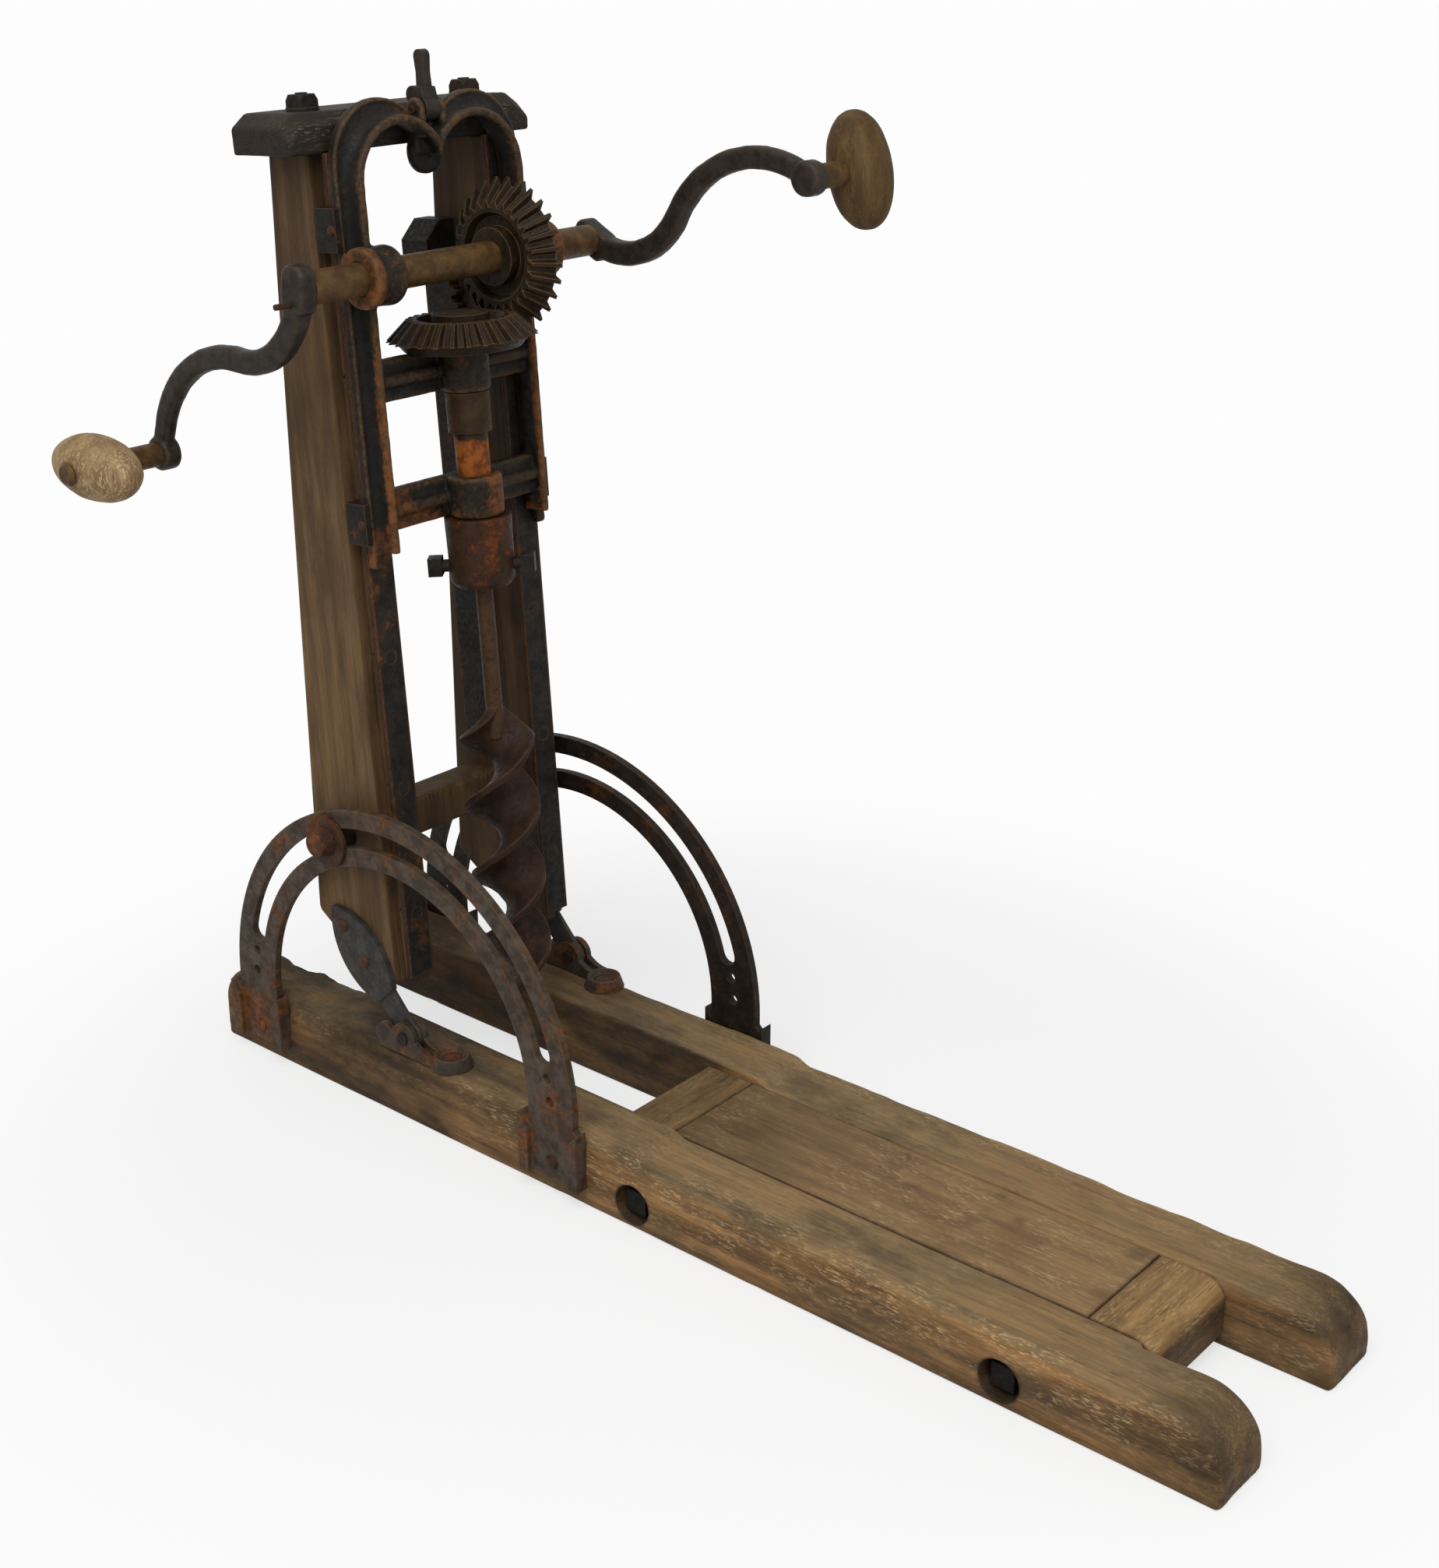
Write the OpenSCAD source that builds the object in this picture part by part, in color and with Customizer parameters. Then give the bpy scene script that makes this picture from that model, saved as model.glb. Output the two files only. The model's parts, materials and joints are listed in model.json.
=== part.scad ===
// Hand-cranked beam boring machine: a rail base, a tilting upright and a sliding bevel-geared carriage.
// X runs along the crank shaft, -Y is the seat end, +Z is up, and the floor is at Z = 0.

/* [Base] */
// Length of the two rails
base_len = 892; // [800:1:1000]
// Gap between the rails
rail_gap = 90; // [80:1:100]
// Width of one rail
rail_w = 52; // [48:1:64]
// Height of a rail at the upright
rail_h = 54; // [48:1:66]
// Step down of the rail's top along the seat
seat_drop = 4; // [2:0.5:8]
// Slope length of that step
seat_ramp = 16; // [6:1:40]
// Radius of the rounded nose at the seat end
nose_r = 36; // [20:1:40]
// Length of the open gap at the upright end
opening_len = 389; // [340:1:420]
// Width of the cross-piece at the opening
cross_w = 42; // [30:1:60]
// Length of the seat board
board_len = 338; // [280:1:360]
// Thickness of the seat board
board_t = 20; // [14:1:22]
// Width of the tail cross-piece
tail_w = 48; // [30:1:60]
// Depth of the two cross-pieces
cross_h = 40; // [34:1:42]
// Diameter of the tie bolts
tie_d = 10; // [8:0.5:12]
// Height of the tie bolts above the floor
tie_z = 19; // [17:0.5:21]
// Distance from the opening's cross-piece to its tie bolt
tie_set = 8; // [7:1:40]
// Distance from the tail cross-piece to its tie bolt
tail_tie_set = 29; // [8:1:60]
// Diameter of the counterbores for the tie bolts
sink_d = 30; // [27:1:32]
// Depth of those counterbores
sink_depth = 14; // [12:1:18]

/* [Hinge and quadrants] */
// Distance from the rails' back end to the hinge pins
hinge_from_back = 210; // [200:1:230]
// Height of the hinge pins above the rails
pin_rise = 14; // [13:0.5:20]
// Diameter of the hinge pins
pin_d = 8; // [7:0.5:11]
// Backward lean of the upright as it is locked
lean = 3.6; // [-10:0.1:10]
// Outer radius of a quadrant
quad_r = 180; // [174:1:188]
// Width of a quadrant's band
quad_band = 43; // [38:1:48]
// Width of the quadrant's slot
slot_w = 15; // [13.5:0.5:18]
// Angle above level where the slot ends
slot_end = 16; // [10:1:25]
// Thickness of a quadrant
quad_t = 6; // [4:0.5:8]
// Height of the quadrant's feet above the floor
quad_foot_z = 15; // [8:1:24]
// Thickness of the leaf-shaped straps
strap_t = 5; // [4:0.5:6]
// Angle of a strap from level
strap_angle = 51; // [48:1:56]
// Length of a strap from the hinge pin
strap_len = 114; // [106:1:120]
// Width of a strap's leaf
strap_w = 46; // [38:1:50]

/* [Upright] */
// Clear width between the posts
post_gap = 122; // [120:1:130]
// Thickness of a post
post_t = 25; // [22:1:25]
// Length of a post
post_len = 598; // [560:1:640]
// Height of a post's foot above the hinge pin
post_rise = 36; // [32:1:44]
// Depth of a post at the top
post_top_d = 52; // [48:1:60]
// Depth of a post at the foot
post_foot_d = 95; // [90:1:100]
// Height of the heel cut at the back of the foot
heel_h = 44; // [30:1:54]
// Run of the heel cut
heel_run = 60; // [40:1:62]
// Width of an iron guide strip
strip_w = 22; // [18:1:23]
// Thickness of a guide strip
strip_t = 4; // [3:0.5:5]
// Depth of the post's rebate behind the strip's edge
rebate_d = 12; // [10:0.5:14]
// Width of that rebate, front to back
rebate_w = 12; // [10:0.5:16]
// Length of the cap bar
cap_len = 218; // [200:1:240]
// Depth of the cap bar
cap_d = 59; // [54:1:64]
// Height of the cap bar
cap_h = 26; // [22:1:30]
// Chamfer along the cap bar's edges
cap_chamfer = 9; // [4:0.5:12]
// Height of the stretcher above the posts' feet
stretcher_z = 93; // [80:1:110]
// Height of the stretcher
stretcher_h = 29; // [26:1:34]
// Thickness of the stretcher
stretcher_t = 28; // [26:1:32]
// Depth of the housings that hold the stretcher's ends
housing_d = 4; // [2:0.5:8]

/* [Carriage] */
// Distance from the guide strips to the spindle and the crank shaft
axis_ahead = 25; // [23:0.5:27]
// Distance from the cap bar down to the crank shaft
shaft_drop = 79; // [76:1:84]
// Width of a carriage leg
leg_w = 14; // [12:0.5:18]
// Depth of the carriage casting
frame_d = 21.5; // [18:0.5:24]
// Width of the deep web along the windows' edges
web_w = 6; // [4:0.5:8]
// Thickness of the carriage's back plate
plate_t = 8; // [6:0.5:11]
// Height of the arch centres above the crank shaft
arch_rise = 69; // [62:1:74]
// Radius of the windows' arched tops
window_r = 36.5; // [34:0.5:38]
// Distance from the crank shaft down to the tips of the legs
leg_drop = 199; // [190:1:210]
// Height of a cross-bar and its spindle boss
bar_h = 29; // [24:1:32]
// Thickness of a cross-bar's web
bar_t = 10; // [8:0.5:12]
// Distance from the upper cross-bar down to the lower one
bar_pitch = 88; // [84:1:92]
// Diameter of the upper spindle boss
boss_up_d = 34; // [32:1:40]
// Diameter of the lower spindle boss
boss_low_d = 39; // [36:1:44]
// Diameter of the crank bearing bosses
bearing_d = 40; // [34:1:44]
// Length of a crank bearing boss
bearing_l = 28; // [26:1:34]
// Height of a guide clip
clip_h = 29; // [20:1:36]
// Thickness of a guide clip
clip_t = 5; // [4:0.5:6]

/* [Gears and lift] */
// Pitch radius of the two bevel gears
gear_r = 50; // [47:0.5:51]
// Number of teeth on each bevel gear
gear_teeth = 28; // [20:2:36]
// Depth of the toothed rim along the gear's axis
gear_face = 14; // [10:0.5:16]
// Thickness of the gear's web behind the teeth
gear_web = 7; // [5:0.5:8]
// Diameter of the gear hubs
gear_hub_d = 40; // [34:1:42]
// Module of the rack and its pinion
rack_module = 3; // [2.5:0.25:3.25]
// Number of teeth on the lifting pinion
pinion_teeth = 8; // [8:1:9]
// Length of the rack
rack_len = 376; // [340:1:400]
// Width of the rack behind its teeth
rack_w = 26; // [18:1:28]
// Thickness of the rack
rack_t = 9; // [7:0.5:10]

/* [Crank] */
// Diameter of the crank shaft
shaft_d = 22; // [18:0.5:25]
// Length of the crank shaft
shaft_len = 289; // [280:1:320]
// Distance from the shaft to a grip pin
crank_r = 205; // [190:1:220]
// Width of a crank arm
arm_w = 17; // [12:0.5:20]
// Thickness of a crank arm
arm_t = 10; // [8:0.5:14]
// Share of the arm that the first bend takes
first_bend = 0.41; // [0.38:0.01:0.5]
// Width of a crank arm's head
hub_w = 21; // [19:0.5:24]
// Distance from the shaft to the end of that head
hub_over = 16; // [14:0.5:20]
// Thickness of that head
hub_l = 13; // [12:0.5:16]
// Diameter of the shaft's ends inside the arms
tenon_d = 13; // [11:0.5:13.5]
// Angle of the left arm above level, from the front
left_arm_angle = -144; // [-180:1:180]
// Angle of the right arm above level, from the front
right_arm_angle = 13; // [-180:1:180]
// Diameter of the grip pins
grip_pin_d = 12; // [10:0.5:14]
// Distance from an arm to the middle of its grip
grip_out = 56; // [48:1:60]
// Length of a grip
grip_l = 80; // [64:1:90]
// Diameter of a grip
grip_d = 46; // [40:1:50]
// Angle of the left grip above level
left_grip_angle = -6; // [-180:1:180]
// Angle of the right grip above level
right_grip_angle = 100; // [-180:1:180]

/* [Spindle and auger] */
// Diameter of the spindle
spindle_d = 24; // [20:0.5:26]
// Diameter of the thrust collar under the upper boss
collar_d = 31; // [29:0.5:33]
// Height of that collar
collar_h = 28; // [16:1:34]
// Diameter of the chuck
chuck_d = 48; // [44:1:52]
// Length of the chuck
chuck_l = 50; // [44:1:56]
// Depth of the spindle in the chuck
chuck_socket = 22; // [16:1:24]
// Diameter of the bit's shank
shank_d = 12.5; // [10:0.5:14]
// Diameter of the auger
auger_d = 55; // [38:1:60]
// Thickness of the auger's ribbon
ribbon_t = 9; // [6:0.5:11]
// Length in which the auger makes one turn
auger_pitch = 110; // [80:1:140]
// Distance from the chuck to the shoulder of the auger
shank_show = 116; // [100:1:125]
// Length of the auger's twisted part
twist_len = 196; // [160:1:200]
// Angle of the spindle about its axis
spindle_angle = -50; // [-180:1:180]

/* [Latch] */
// Thickness of the latch
latch_t = 13; // [10:0.5:16]
// Height of the thumb tab above the latch pin
latch_h = 38; // [34:1:43]
// Diameter of the latch pin
latch_pin_d = 6; // [5:0.5:7]

/* [Clearances] */
// Radial clearance of a running shaft or pin
run_fit = 0.05; // [0.03:0.01:0.1]
// Radial clearance round a fastener
hole_fit = 0.1; // [0.05:0.05:0.2]
// Gap between parts that slide past each other
slide_gap = 0.4; // [0.3:0.05:0.6]

/* [Hidden] */
$fn = 64;
eps = 0.01;

// Colours
oak = "#8c7b62";
dark_oak = "#5d5347";
iron = "#4a4340";
painted_iron = "#39414a";
rusty_iron = "#7a4f33";
grey_iron = "#6e7378";
gear_iron = "#6d5b47";
worn_wood = "#a58a66";

// Base places
half_base = base_len / 2;
rail_in = rail_gap / 2;
rail_out = rail_in + rail_w;
seat_h = rail_h - seat_drop;
cross_back_y = half_base - opening_len;
board_back_y = cross_back_y - cross_w;
board_front_y = board_back_y - board_len;
tail_front_y = board_front_y - tail_w;
tie_ys = [board_back_y - tie_set, board_front_y + tail_tie_set];
tie_head_w = 17;
tie_head_t = 7;
washer_t = 2.5;

// Hinge places
pin_y = half_base - hinge_from_back;
pin_z = rail_h + pin_rise;
quad_in_r = quad_r - quad_band;
slot_r = quad_r - quad_band / 2;
quad_x = rail_out;
ear_t = 4.4;
ear_r = 12;

// Upright places, before it leans
strip_ahead = 2;
strip_y = pin_y - strip_ahead;
wood_y = strip_y + strip_t;
axis_y = strip_y - axis_ahead;
post_in = post_gap / 2;
post_out = post_in + post_t;
post_z0 = pin_z + post_rise;
post_z1 = post_z0 + post_len;
strip_lift = 8;
strip_z0 = post_z0 + strip_lift;
strip_out = post_in + strip_w;
strip_mid = post_in + strip_w / 2;
strip_screw_d = 5;
strip_screw_l = 24;
strip_screw_n = 6;
cap_bolt_x = post_in + post_t / 2;
cap_bolt_y = wood_y + post_top_d / 2;
cap_bolt_d = 8;
cap_bolt_deep = 60;
lock_rod_d = 10;
lock_angle = 71.2;
lock_y = pin_y + slot_r * cos(lock_angle);
lock_z = pin_z + slot_r * sin(lock_angle);
lock_washer_d = 40;
lock_washer_t = 3.5;
strap_screw_along = [strap_len * 0.57, strap_len * 0.85];

// Carriage places, before the upright leans
shaft_z = post_z1 - shaft_drop;
frame_back_y = strip_y - slide_gap;
frame_front_y = frame_back_y - frame_d;
leg_in = strip_out + 1 - leg_w;
leg_out = leg_in + leg_w;
arch_z = shaft_z + arch_rise;
arch_out_r = leg_out / 2;
window_z = arch_z - 12;
window_x = leg_in - window_r;
leg_z0 = shaft_z - leg_drop;
foot_rise = 11;
foot_step = 6;
bearing_set = 24.5;
bar_front_y = strip_y - 3 - bar_t;
gear_back_z = shaft_z - gear_r - gear_web;
bar_up_z = gear_back_z - slide_gap - bar_h;
bar_low_z = bar_up_z - bar_pitch;
bearing_x0 = leg_out - bearing_set;
clip_zs = [arch_z - 53, leg_z0 + 18];
hook_t = 6;
hook_in = 7;
latch_y = frame_back_y - 8.5;
latch_z = arch_z + 32;
lug_t = 5;
lug_r = 8;

// Lift places
rack_pitch = PI * rack_module;
pinion_r = rack_module * pinion_teeth / 2;
rack_set = 33;
rack_gap = 16;
rack_tip_y = strip_y + rack_set;
pinion_y = rack_tip_y + rack_module - pinion_r;
pinion_z = bar_up_z + bar_h / 2;
rack_z0 = lock_z + lock_rod_d / 2 + rack_gap;
rack_back_y = rack_tip_y + 2 * rack_module + rack_w;
axle_d = 8;
pinion_t = rack_t - 1;
pinion_x0 = post_in - 1 - pinion_t;
arm_lug_t = 12;
arm_lug_d = 18;

// Crank places
arm_x = shaft_len / 2 - hub_l / 2;
grip_x = arm_x + grip_out;
drive_pin_d = 4;
drive_pin_in = 10;
drive_pin_out = 13;
drive_pin_off = (tenon_d + shaft_d) / 4;
eye_wall = 6;
head_in = 13;
lap_l = 6;
lap_in = 2;

// Spindle places
chuck_z1 = bar_low_z - slide_gap;
chuck_z0 = chuck_z1 - chuck_l;
spindle_z0 = chuck_z1 - chuck_socket;
gear_hub_top = shaft_z - gear_r + gear_face + 3;
twist_z1 = chuck_z0 - shank_show;
twist_z0 = twist_z1 - twist_len;
tip_len = 22;
chuck_screw_z = chuck_z0 + 14;
chuck_screw_d = 9;
chuck_edge = 4;

// Turns a drawing of Y across and Z up into a plate that grows along +X from x0.
module side_plate(x0, t) {
    translate([x0, 0, 0]) rotate([90, 0, 90]) linear_extrude(t) children();
}

// Turns a drawing of X across and Z up into a plate that grows towards -Y from y0.
module front_plate(y0, t) {
    translate([0, y0, 0]) rotate([90, 0, 0]) linear_extrude(t) children();
}

// A cylinder along +X from x0.
module rod_x(x0, len, d, y, z) {
    translate([x0, y, z]) rotate([0, 90, 0]) cylinder(d = d, h = len);
}

// Draws a piece on the right and its mirror image on the left.
module both_sides() {
    children();
    mirror([1, 0, 0]) children();
}

// Leans the upright, and all that it carries, about the hinge pins.
module leaning() {
    translate([0, pin_y, pin_z]) rotate([-lean, 0, 0]) translate([0, -pin_y, -pin_z]) children();
}

// A round-headed wood screw along -Z with its head standing on Z = 0.
module round_screw(d, len) {
    rotate_extrude() polygon([[0, d * 0.5], [d * 0.55, d * 0.42], [d * 0.95, 0], [d / 2, 0],
        [d / 2, -len + d / 2], [0, -len]]);
}

// A countersunk wood screw along -Z with its head flush at Z = 0.
module flat_screw(d, len) {
    rotate_extrude() polygon([[0, 0], [d, 0], [d / 2, -d / 2], [d / 2, -len + d / 2], [0, -len]]);
}

// The hole for a countersunk screw, open a little above Z = 0.
module flat_hole(d, len) {
    r = d / 2 + hole_fit;
    rotate_extrude() polygon([[0, 1], [d + hole_fit, 1], [d + hole_fit, 0], [r, -d / 2], [r, -len + d / 2],
        [0, -len - hole_fit]]);
}

// The plain hole for a screw's shank below Z = 0.
module shank_hole(d, len) {
    translate([0, 0, -len - hole_fit]) cylinder(d = d + 2 * hole_fit, h = len + 1);
}

// Side outline of a rail: high at the upright, lower along the seat, round at the nose.
module rail_outline() {
    nose_y = -half_base;
    polygon([[nose_y + nose_r, 0], [half_base, 0], [half_base, rail_h], [board_back_y, rail_h],
        [board_back_y - seat_ramp, seat_h], [nose_y + nose_r, seat_h]]);
    translate([nose_y, 0]) square([nose_r + eps, seat_h - nose_r]);
    intersection() {
        translate([nose_y + nose_r, seat_h - nose_r]) circle(r = nose_r, $fn = 96);
        translate([nose_y, seat_h - nose_r]) square([nose_r + eps, nose_r]);
    }
}

module right_rail_solid() {
    difference() {
        side_plate(rail_in, rail_w) rail_outline();
        for (y = tie_ys) {
            rod_x(rail_in - 1, rail_w + 2, tie_d + 2 * hole_fit, y, tie_z);
            rod_x(rail_out - sink_depth, sink_depth + 1, sink_d, y, tie_z);
        }
        at_quadrant_screws() shank_hole(quad_screw_d, quad_screw_l);
        at_bracket_screws() shank_hole(bracket_screw_d, bracket_screw_l);
    }
}

module right_rail() {
    color(oak) right_rail_solid();
}

module left_rail() {
    color(oak) mirror([1, 0, 0]) right_rail_solid();
}

module cross_block(y0, y1) {
    translate([-rail_in, y0, seat_h - cross_h]) cube([rail_gap, y1 - y0, cross_h]);
}

module opening_crosspiece() {
    color(oak) cross_block(board_back_y, cross_back_y);
}

module seat_board() {
    color(oak) translate([-rail_in, board_front_y, seat_h - board_t]) cube([rail_gap, board_len, board_t]);
}

// The tail cross-piece has its front top edge rounded over.
module tail_crosspiece() {
    round_r = tail_w / 3;
    color(oak) side_plate(-rail_in, rail_gap) {
        translate([tail_front_y + round_r, seat_h - cross_h]) square([tail_w - round_r, cross_h]);
        translate([tail_front_y, seat_h - cross_h]) square([round_r + eps, cross_h - round_r]);
        translate([tail_front_y + round_r, seat_h - round_r]) circle(r = round_r);
    }
}

// Tie bolts run from the left counterbore to the right one.
module tie_bolts() {
    seat_x = rail_out - sink_depth + washer_t;
    color(iron) for (y = tie_ys) {
        rod_x(-seat_x, 2 * seat_x + tie_head_t, tie_d, y, tie_z);
        translate([-seat_x - tie_head_t, y - tie_head_w / 2, tie_z - tie_head_w / 2])
            cube([tie_head_t, tie_head_w, tie_head_w]);
    }
}

module tie_washers() {
    color(iron) for (y = tie_ys) both_sides() difference() {
        rod_x(rail_out - sink_depth, washer_t, sink_d - 3, y, tie_z);
        rod_x(rail_out - sink_depth - 1, washer_t + 2, tie_d + 2 * hole_fit, y, tie_z);
    }
}

module tie_nuts() {
    color(iron) for (y = tie_ys) difference() {
        translate([rail_out - sink_depth + washer_t, y - tie_head_w / 2, tie_z - tie_head_w / 2])
            cube([tie_head_t, tie_head_w, tie_head_w]);
        rod_x(rail_out - sink_depth, tie_head_t + washer_t + 1, tie_d, y, tie_z);
    }
}

// Quadrant: a slotted half ring on two straight feet, with two spare holes above each foot.
quad_screw_d = 6;
quad_screw_l = 30;
quad_hole_d = 8;
quad_screw_zs = [quad_foot_z + 13];
foot_w = 56;
foot_h = rail_h - quad_foot_z;
foot_t = quad_t + 5;
flange_w = 9;
flange_ear = 7;
quad_foot_ys = [pin_y - slot_r, pin_y + slot_r];

slot_lip = 0.2;

module slot_outline() {
    reach = 2 * quad_r;
    intersection() {
        difference() {
            circle(r = slot_r + slot_w / 2, $fn = 128);
            circle(r = slot_r - slot_w / 2, $fn = 128);
        }
        polygon([[0, 0], [reach * cos(slot_end), reach * sin(slot_end)], [0, reach],
            [-reach * cos(slot_end), reach * sin(slot_end)]]);
    }
    for (a = [slot_end, 180 - slot_end]) rotate(a) translate([slot_r, 0]) circle(d = slot_w - slot_lip);
}

// A foot's plate, wider than the band, with sloped shoulders.
module foot_plate() {
    out = (foot_w - quad_band) / 2;
    polygon([[-out, 0], [quad_band + out, 0], [quad_band + out, foot_h], [quad_band, foot_h + out],
        [quad_band, pin_z - quad_foot_z + eps], [0, pin_z - quad_foot_z + eps], [0, foot_h + out],
        [-out, foot_h]]);
}

// The foot's two side flanges stand out of the plate and end in pointed ears.
module foot_flange() {
    polygon([[0, 0], [flange_w, 0], [flange_w, foot_h - 4], [0, foot_h + flange_ear]]);
}

module foot_flanges() {
    for (y = quad_foot_ys) translate([y, quad_foot_z]) {
        translate([-foot_w / 2, 0]) foot_flange();
        translate([foot_w / 2, 0]) mirror([1, 0]) foot_flange();
    }
}

module quadrant_outline() {
    translate([pin_y, pin_z]) difference() {
        union() {
            intersection() {
                circle(r = quad_r, $fn = 128);
                translate([-quad_r, 0]) square([2 * quad_r, quad_r]);
            }
            for (side = [-1, 1]) translate([side * slot_r - quad_band / 2, quad_foot_z - pin_z])
                foot_plate();
        }
        circle(r = quad_in_r, $fn = 128);
        slot_outline();
        for (a = [slot_end - 6.5, slot_end - 13]) for (b = [a, 180 - a])
            rotate(b) translate([slot_r, 0]) circle(d = quad_hole_d);
    }
}

module at_quadrant_screws() {
    for (y = quad_foot_ys) for (z = quad_screw_zs)
        translate([quad_x + quad_t, y, z]) rotate([0, 90, 0]) children();
}

module right_quadrant_solid() {
    difference() {
        union() {
            side_plate(quad_x, quad_t) quadrant_outline();
            side_plate(quad_x, foot_t) foot_flanges();
        }
        at_quadrant_screws() shank_hole(quad_screw_d, quad_screw_l);
    }
}

module right_quadrant() {
    color(grey_iron) right_quadrant_solid();
}

module left_quadrant() {
    color(grey_iron) mirror([1, 0, 0]) right_quadrant_solid();
}

module quadrant_screws() {
    color(rusty_iron) both_sides() at_quadrant_screws() round_screw(quad_screw_d, quad_screw_l);
}

// Hinge bracket: two ears round the strap, a low back, and a round pad with one screw in front.
bracket_in = post_out - ear_t - slide_gap;
bracket_out = post_out + strap_t + ear_t + slide_gap;
bracket_base_t = 6;
bracket_back = 30;
pad_r = 16;
pad_t = 9;
knuckle_r = 10;
toe_h = bracket_base_t + 1.6;
slope_r = 26;
swing_gap = 5;
pin_head_d = pin_d + 2;
pad_y = pin_y - 38;
pad_x = (bracket_in + bracket_out) / 2 - 6;
dish_t = 3;
bracket_screw_d = 8;
bracket_screw_l = 34;

module at_bracket_screws() {
    translate([pad_x, pad_y, rail_h + pad_t - dish_t]) children();
}

module ear_outline() {
    translate([pin_y, pin_z]) circle(r = ear_r);
    translate([pin_y + bracket_back - knuckle_r, rail_h + knuckle_r]) circle(r = knuckle_r);
    difference() {
        polygon([[pad_y, rail_h], [pad_y, rail_h + pad_t - 1], [pin_y - ear_r * 0.7, pin_z + ear_r * 0.7],
            [pin_y + ear_r * 0.7, pin_z + ear_r * 0.7],
            [pin_y + bracket_back - knuckle_r * 1.7, rail_h + knuckle_r * 1.7],
            [pin_y + bracket_back - knuckle_r, rail_h]]);
        translate([pad_y + pad_r * 0.6, rail_h + toe_h + slope_r]) circle(r = slope_r);
    }
}

module right_bracket_solid() {
    difference() {
        union() {
            side_plate(bracket_in, ear_t) ear_outline();
            side_plate(bracket_out - ear_t, ear_t) ear_outline();
            difference() {
                translate([bracket_in, pad_y, rail_h])
                    cube([bracket_out - bracket_in, pin_y - pad_y + bracket_back - 3, bracket_base_t]);
                rod_x(bracket_in + ear_t, strap_t + 2 * slide_gap, tongue_w + 2 * swing_gap, pin_y, pin_z);
            }
            translate([pad_x, pad_y, rail_h]) cylinder(r1 = pad_r, r2 = pad_r - 3, h = pad_t);
        }
        translate([pad_x, pad_y, rail_h + pad_t - dish_t])
            cylinder(r1 = bracket_screw_d + 1, r2 = pad_r - 4, h = dish_t + eps);
        rod_x(bracket_in - 1, bracket_out - bracket_in + 2, pin_d + 2 * run_fit, pin_y, pin_z);
        at_bracket_screws() flat_hole(bracket_screw_d, bracket_screw_l);
    }
}

module right_hinge_bracket() {
    color(grey_iron) right_bracket_solid();
}

module left_hinge_bracket() {
    color(grey_iron) mirror([1, 0, 0]) right_bracket_solid();
}

module bracket_screws() {
    color(rusty_iron) both_sides() at_bracket_screws() flat_screw(bracket_screw_d, bracket_screw_l);
}

module hinge_pins() {
    head_t = 2;
    color(iron) both_sides() {
        rod_x(bracket_in, bracket_out - bracket_in, pin_d, pin_y, pin_z);
        rod_x(bracket_out, head_t, pin_head_d, pin_y, pin_z);
        rod_x(bracket_in - head_t, head_t, pin_head_d, pin_y, pin_z);
    }
}

// Post: straight in front, tapering behind, with a heel cut at the foot and a rebate behind the strip.
module post_outline() {
    back_y = wood_y + post_foot_d;
    heel_y = back_y - (post_foot_d - post_top_d) * heel_h / post_len;
    polygon([[wood_y, post_z0], [back_y - heel_run, post_z0], [heel_y, post_z0 + heel_h],
        [wood_y + post_top_d, post_z1], [wood_y, post_z1]]);
}

module at_strip_screws() {
    step = (post_z1 - strip_z0) / strip_screw_n;
    for (i = [0 : strip_screw_n - 1])
        translate([strip_mid, strip_y, strip_z0 + step * (i + 0.5)]) rotate([90, 0, 0]) children();
}

module at_cap_bolts() {
    for (side = [-1, 1]) translate([side * cap_bolt_x, cap_bolt_y, post_z1]) children();
}

module at_strap_screws() {
    translate([post_out + strap_t, pin_y, pin_z]) for (s = strap_screw_along)
        rotate([strap_angle, 0, 0]) translate([0, s, 0]) rotate([0, 90, 0]) children();
}

strap_screw_d = 6;
strap_screw_l = 22;

// The stretcher's bar, grown all round by a clearance for the housings.
module stretcher_bar(grow) {
    end_x = post_in + housing_d + grow;
    translate([-end_x, stretcher_y - stretcher_t / 2 - grow, post_z0 + stretcher_z - grow])
        cube([2 * end_x, stretcher_t + 2 * grow, stretcher_h + 2 * grow]);
}

stretcher_y = lock_y + stretcher_t / 4;

module right_post_solid() {
    difference() {
        side_plate(post_in, post_t) post_outline();
        translate([post_out - rebate_d, wood_y - 1, post_z0 - 1])
            cube([rebate_d + 1, rebate_w + 1, post_len + 2]);
        at_strip_screws() shank_hole(strip_screw_d, strip_screw_l);
        at_strap_screws() shank_hole(strap_screw_d, strap_screw_l);
        at_cap_bolts() shank_hole(cap_bolt_d, cap_bolt_deep);
        rod_x(post_in - 1, post_t + 2, lock_rod_d + 2 * hole_fit, lock_y, lock_z);
        stretcher_bar(hole_fit);
    }
}

module right_post() {
    color(oak) leaning() difference() {
        right_post_solid();
        at_rack_screws() shank_hole(rack_screw_d, rack_screw_l);
    }
}

module left_post() {
    color(oak) leaning() mirror([1, 0, 0]) right_post_solid();
}

module right_strip_solid() {
    difference() {
        translate([post_in, strip_y, strip_z0]) cube([strip_w, strip_t, post_z1 - strip_z0]);
        at_strip_screws() flat_hole(strip_screw_d, strip_screw_l);
    }
}

module right_guide_strip() {
    color(painted_iron) leaning() right_strip_solid();
}

module left_guide_strip() {
    color(painted_iron) leaning() mirror([1, 0, 0]) right_strip_solid();
}

module guide_strip_screws() {
    color(iron) leaning() both_sides() at_strip_screws() flat_screw(strip_screw_d, strip_screw_l);
}

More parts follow.
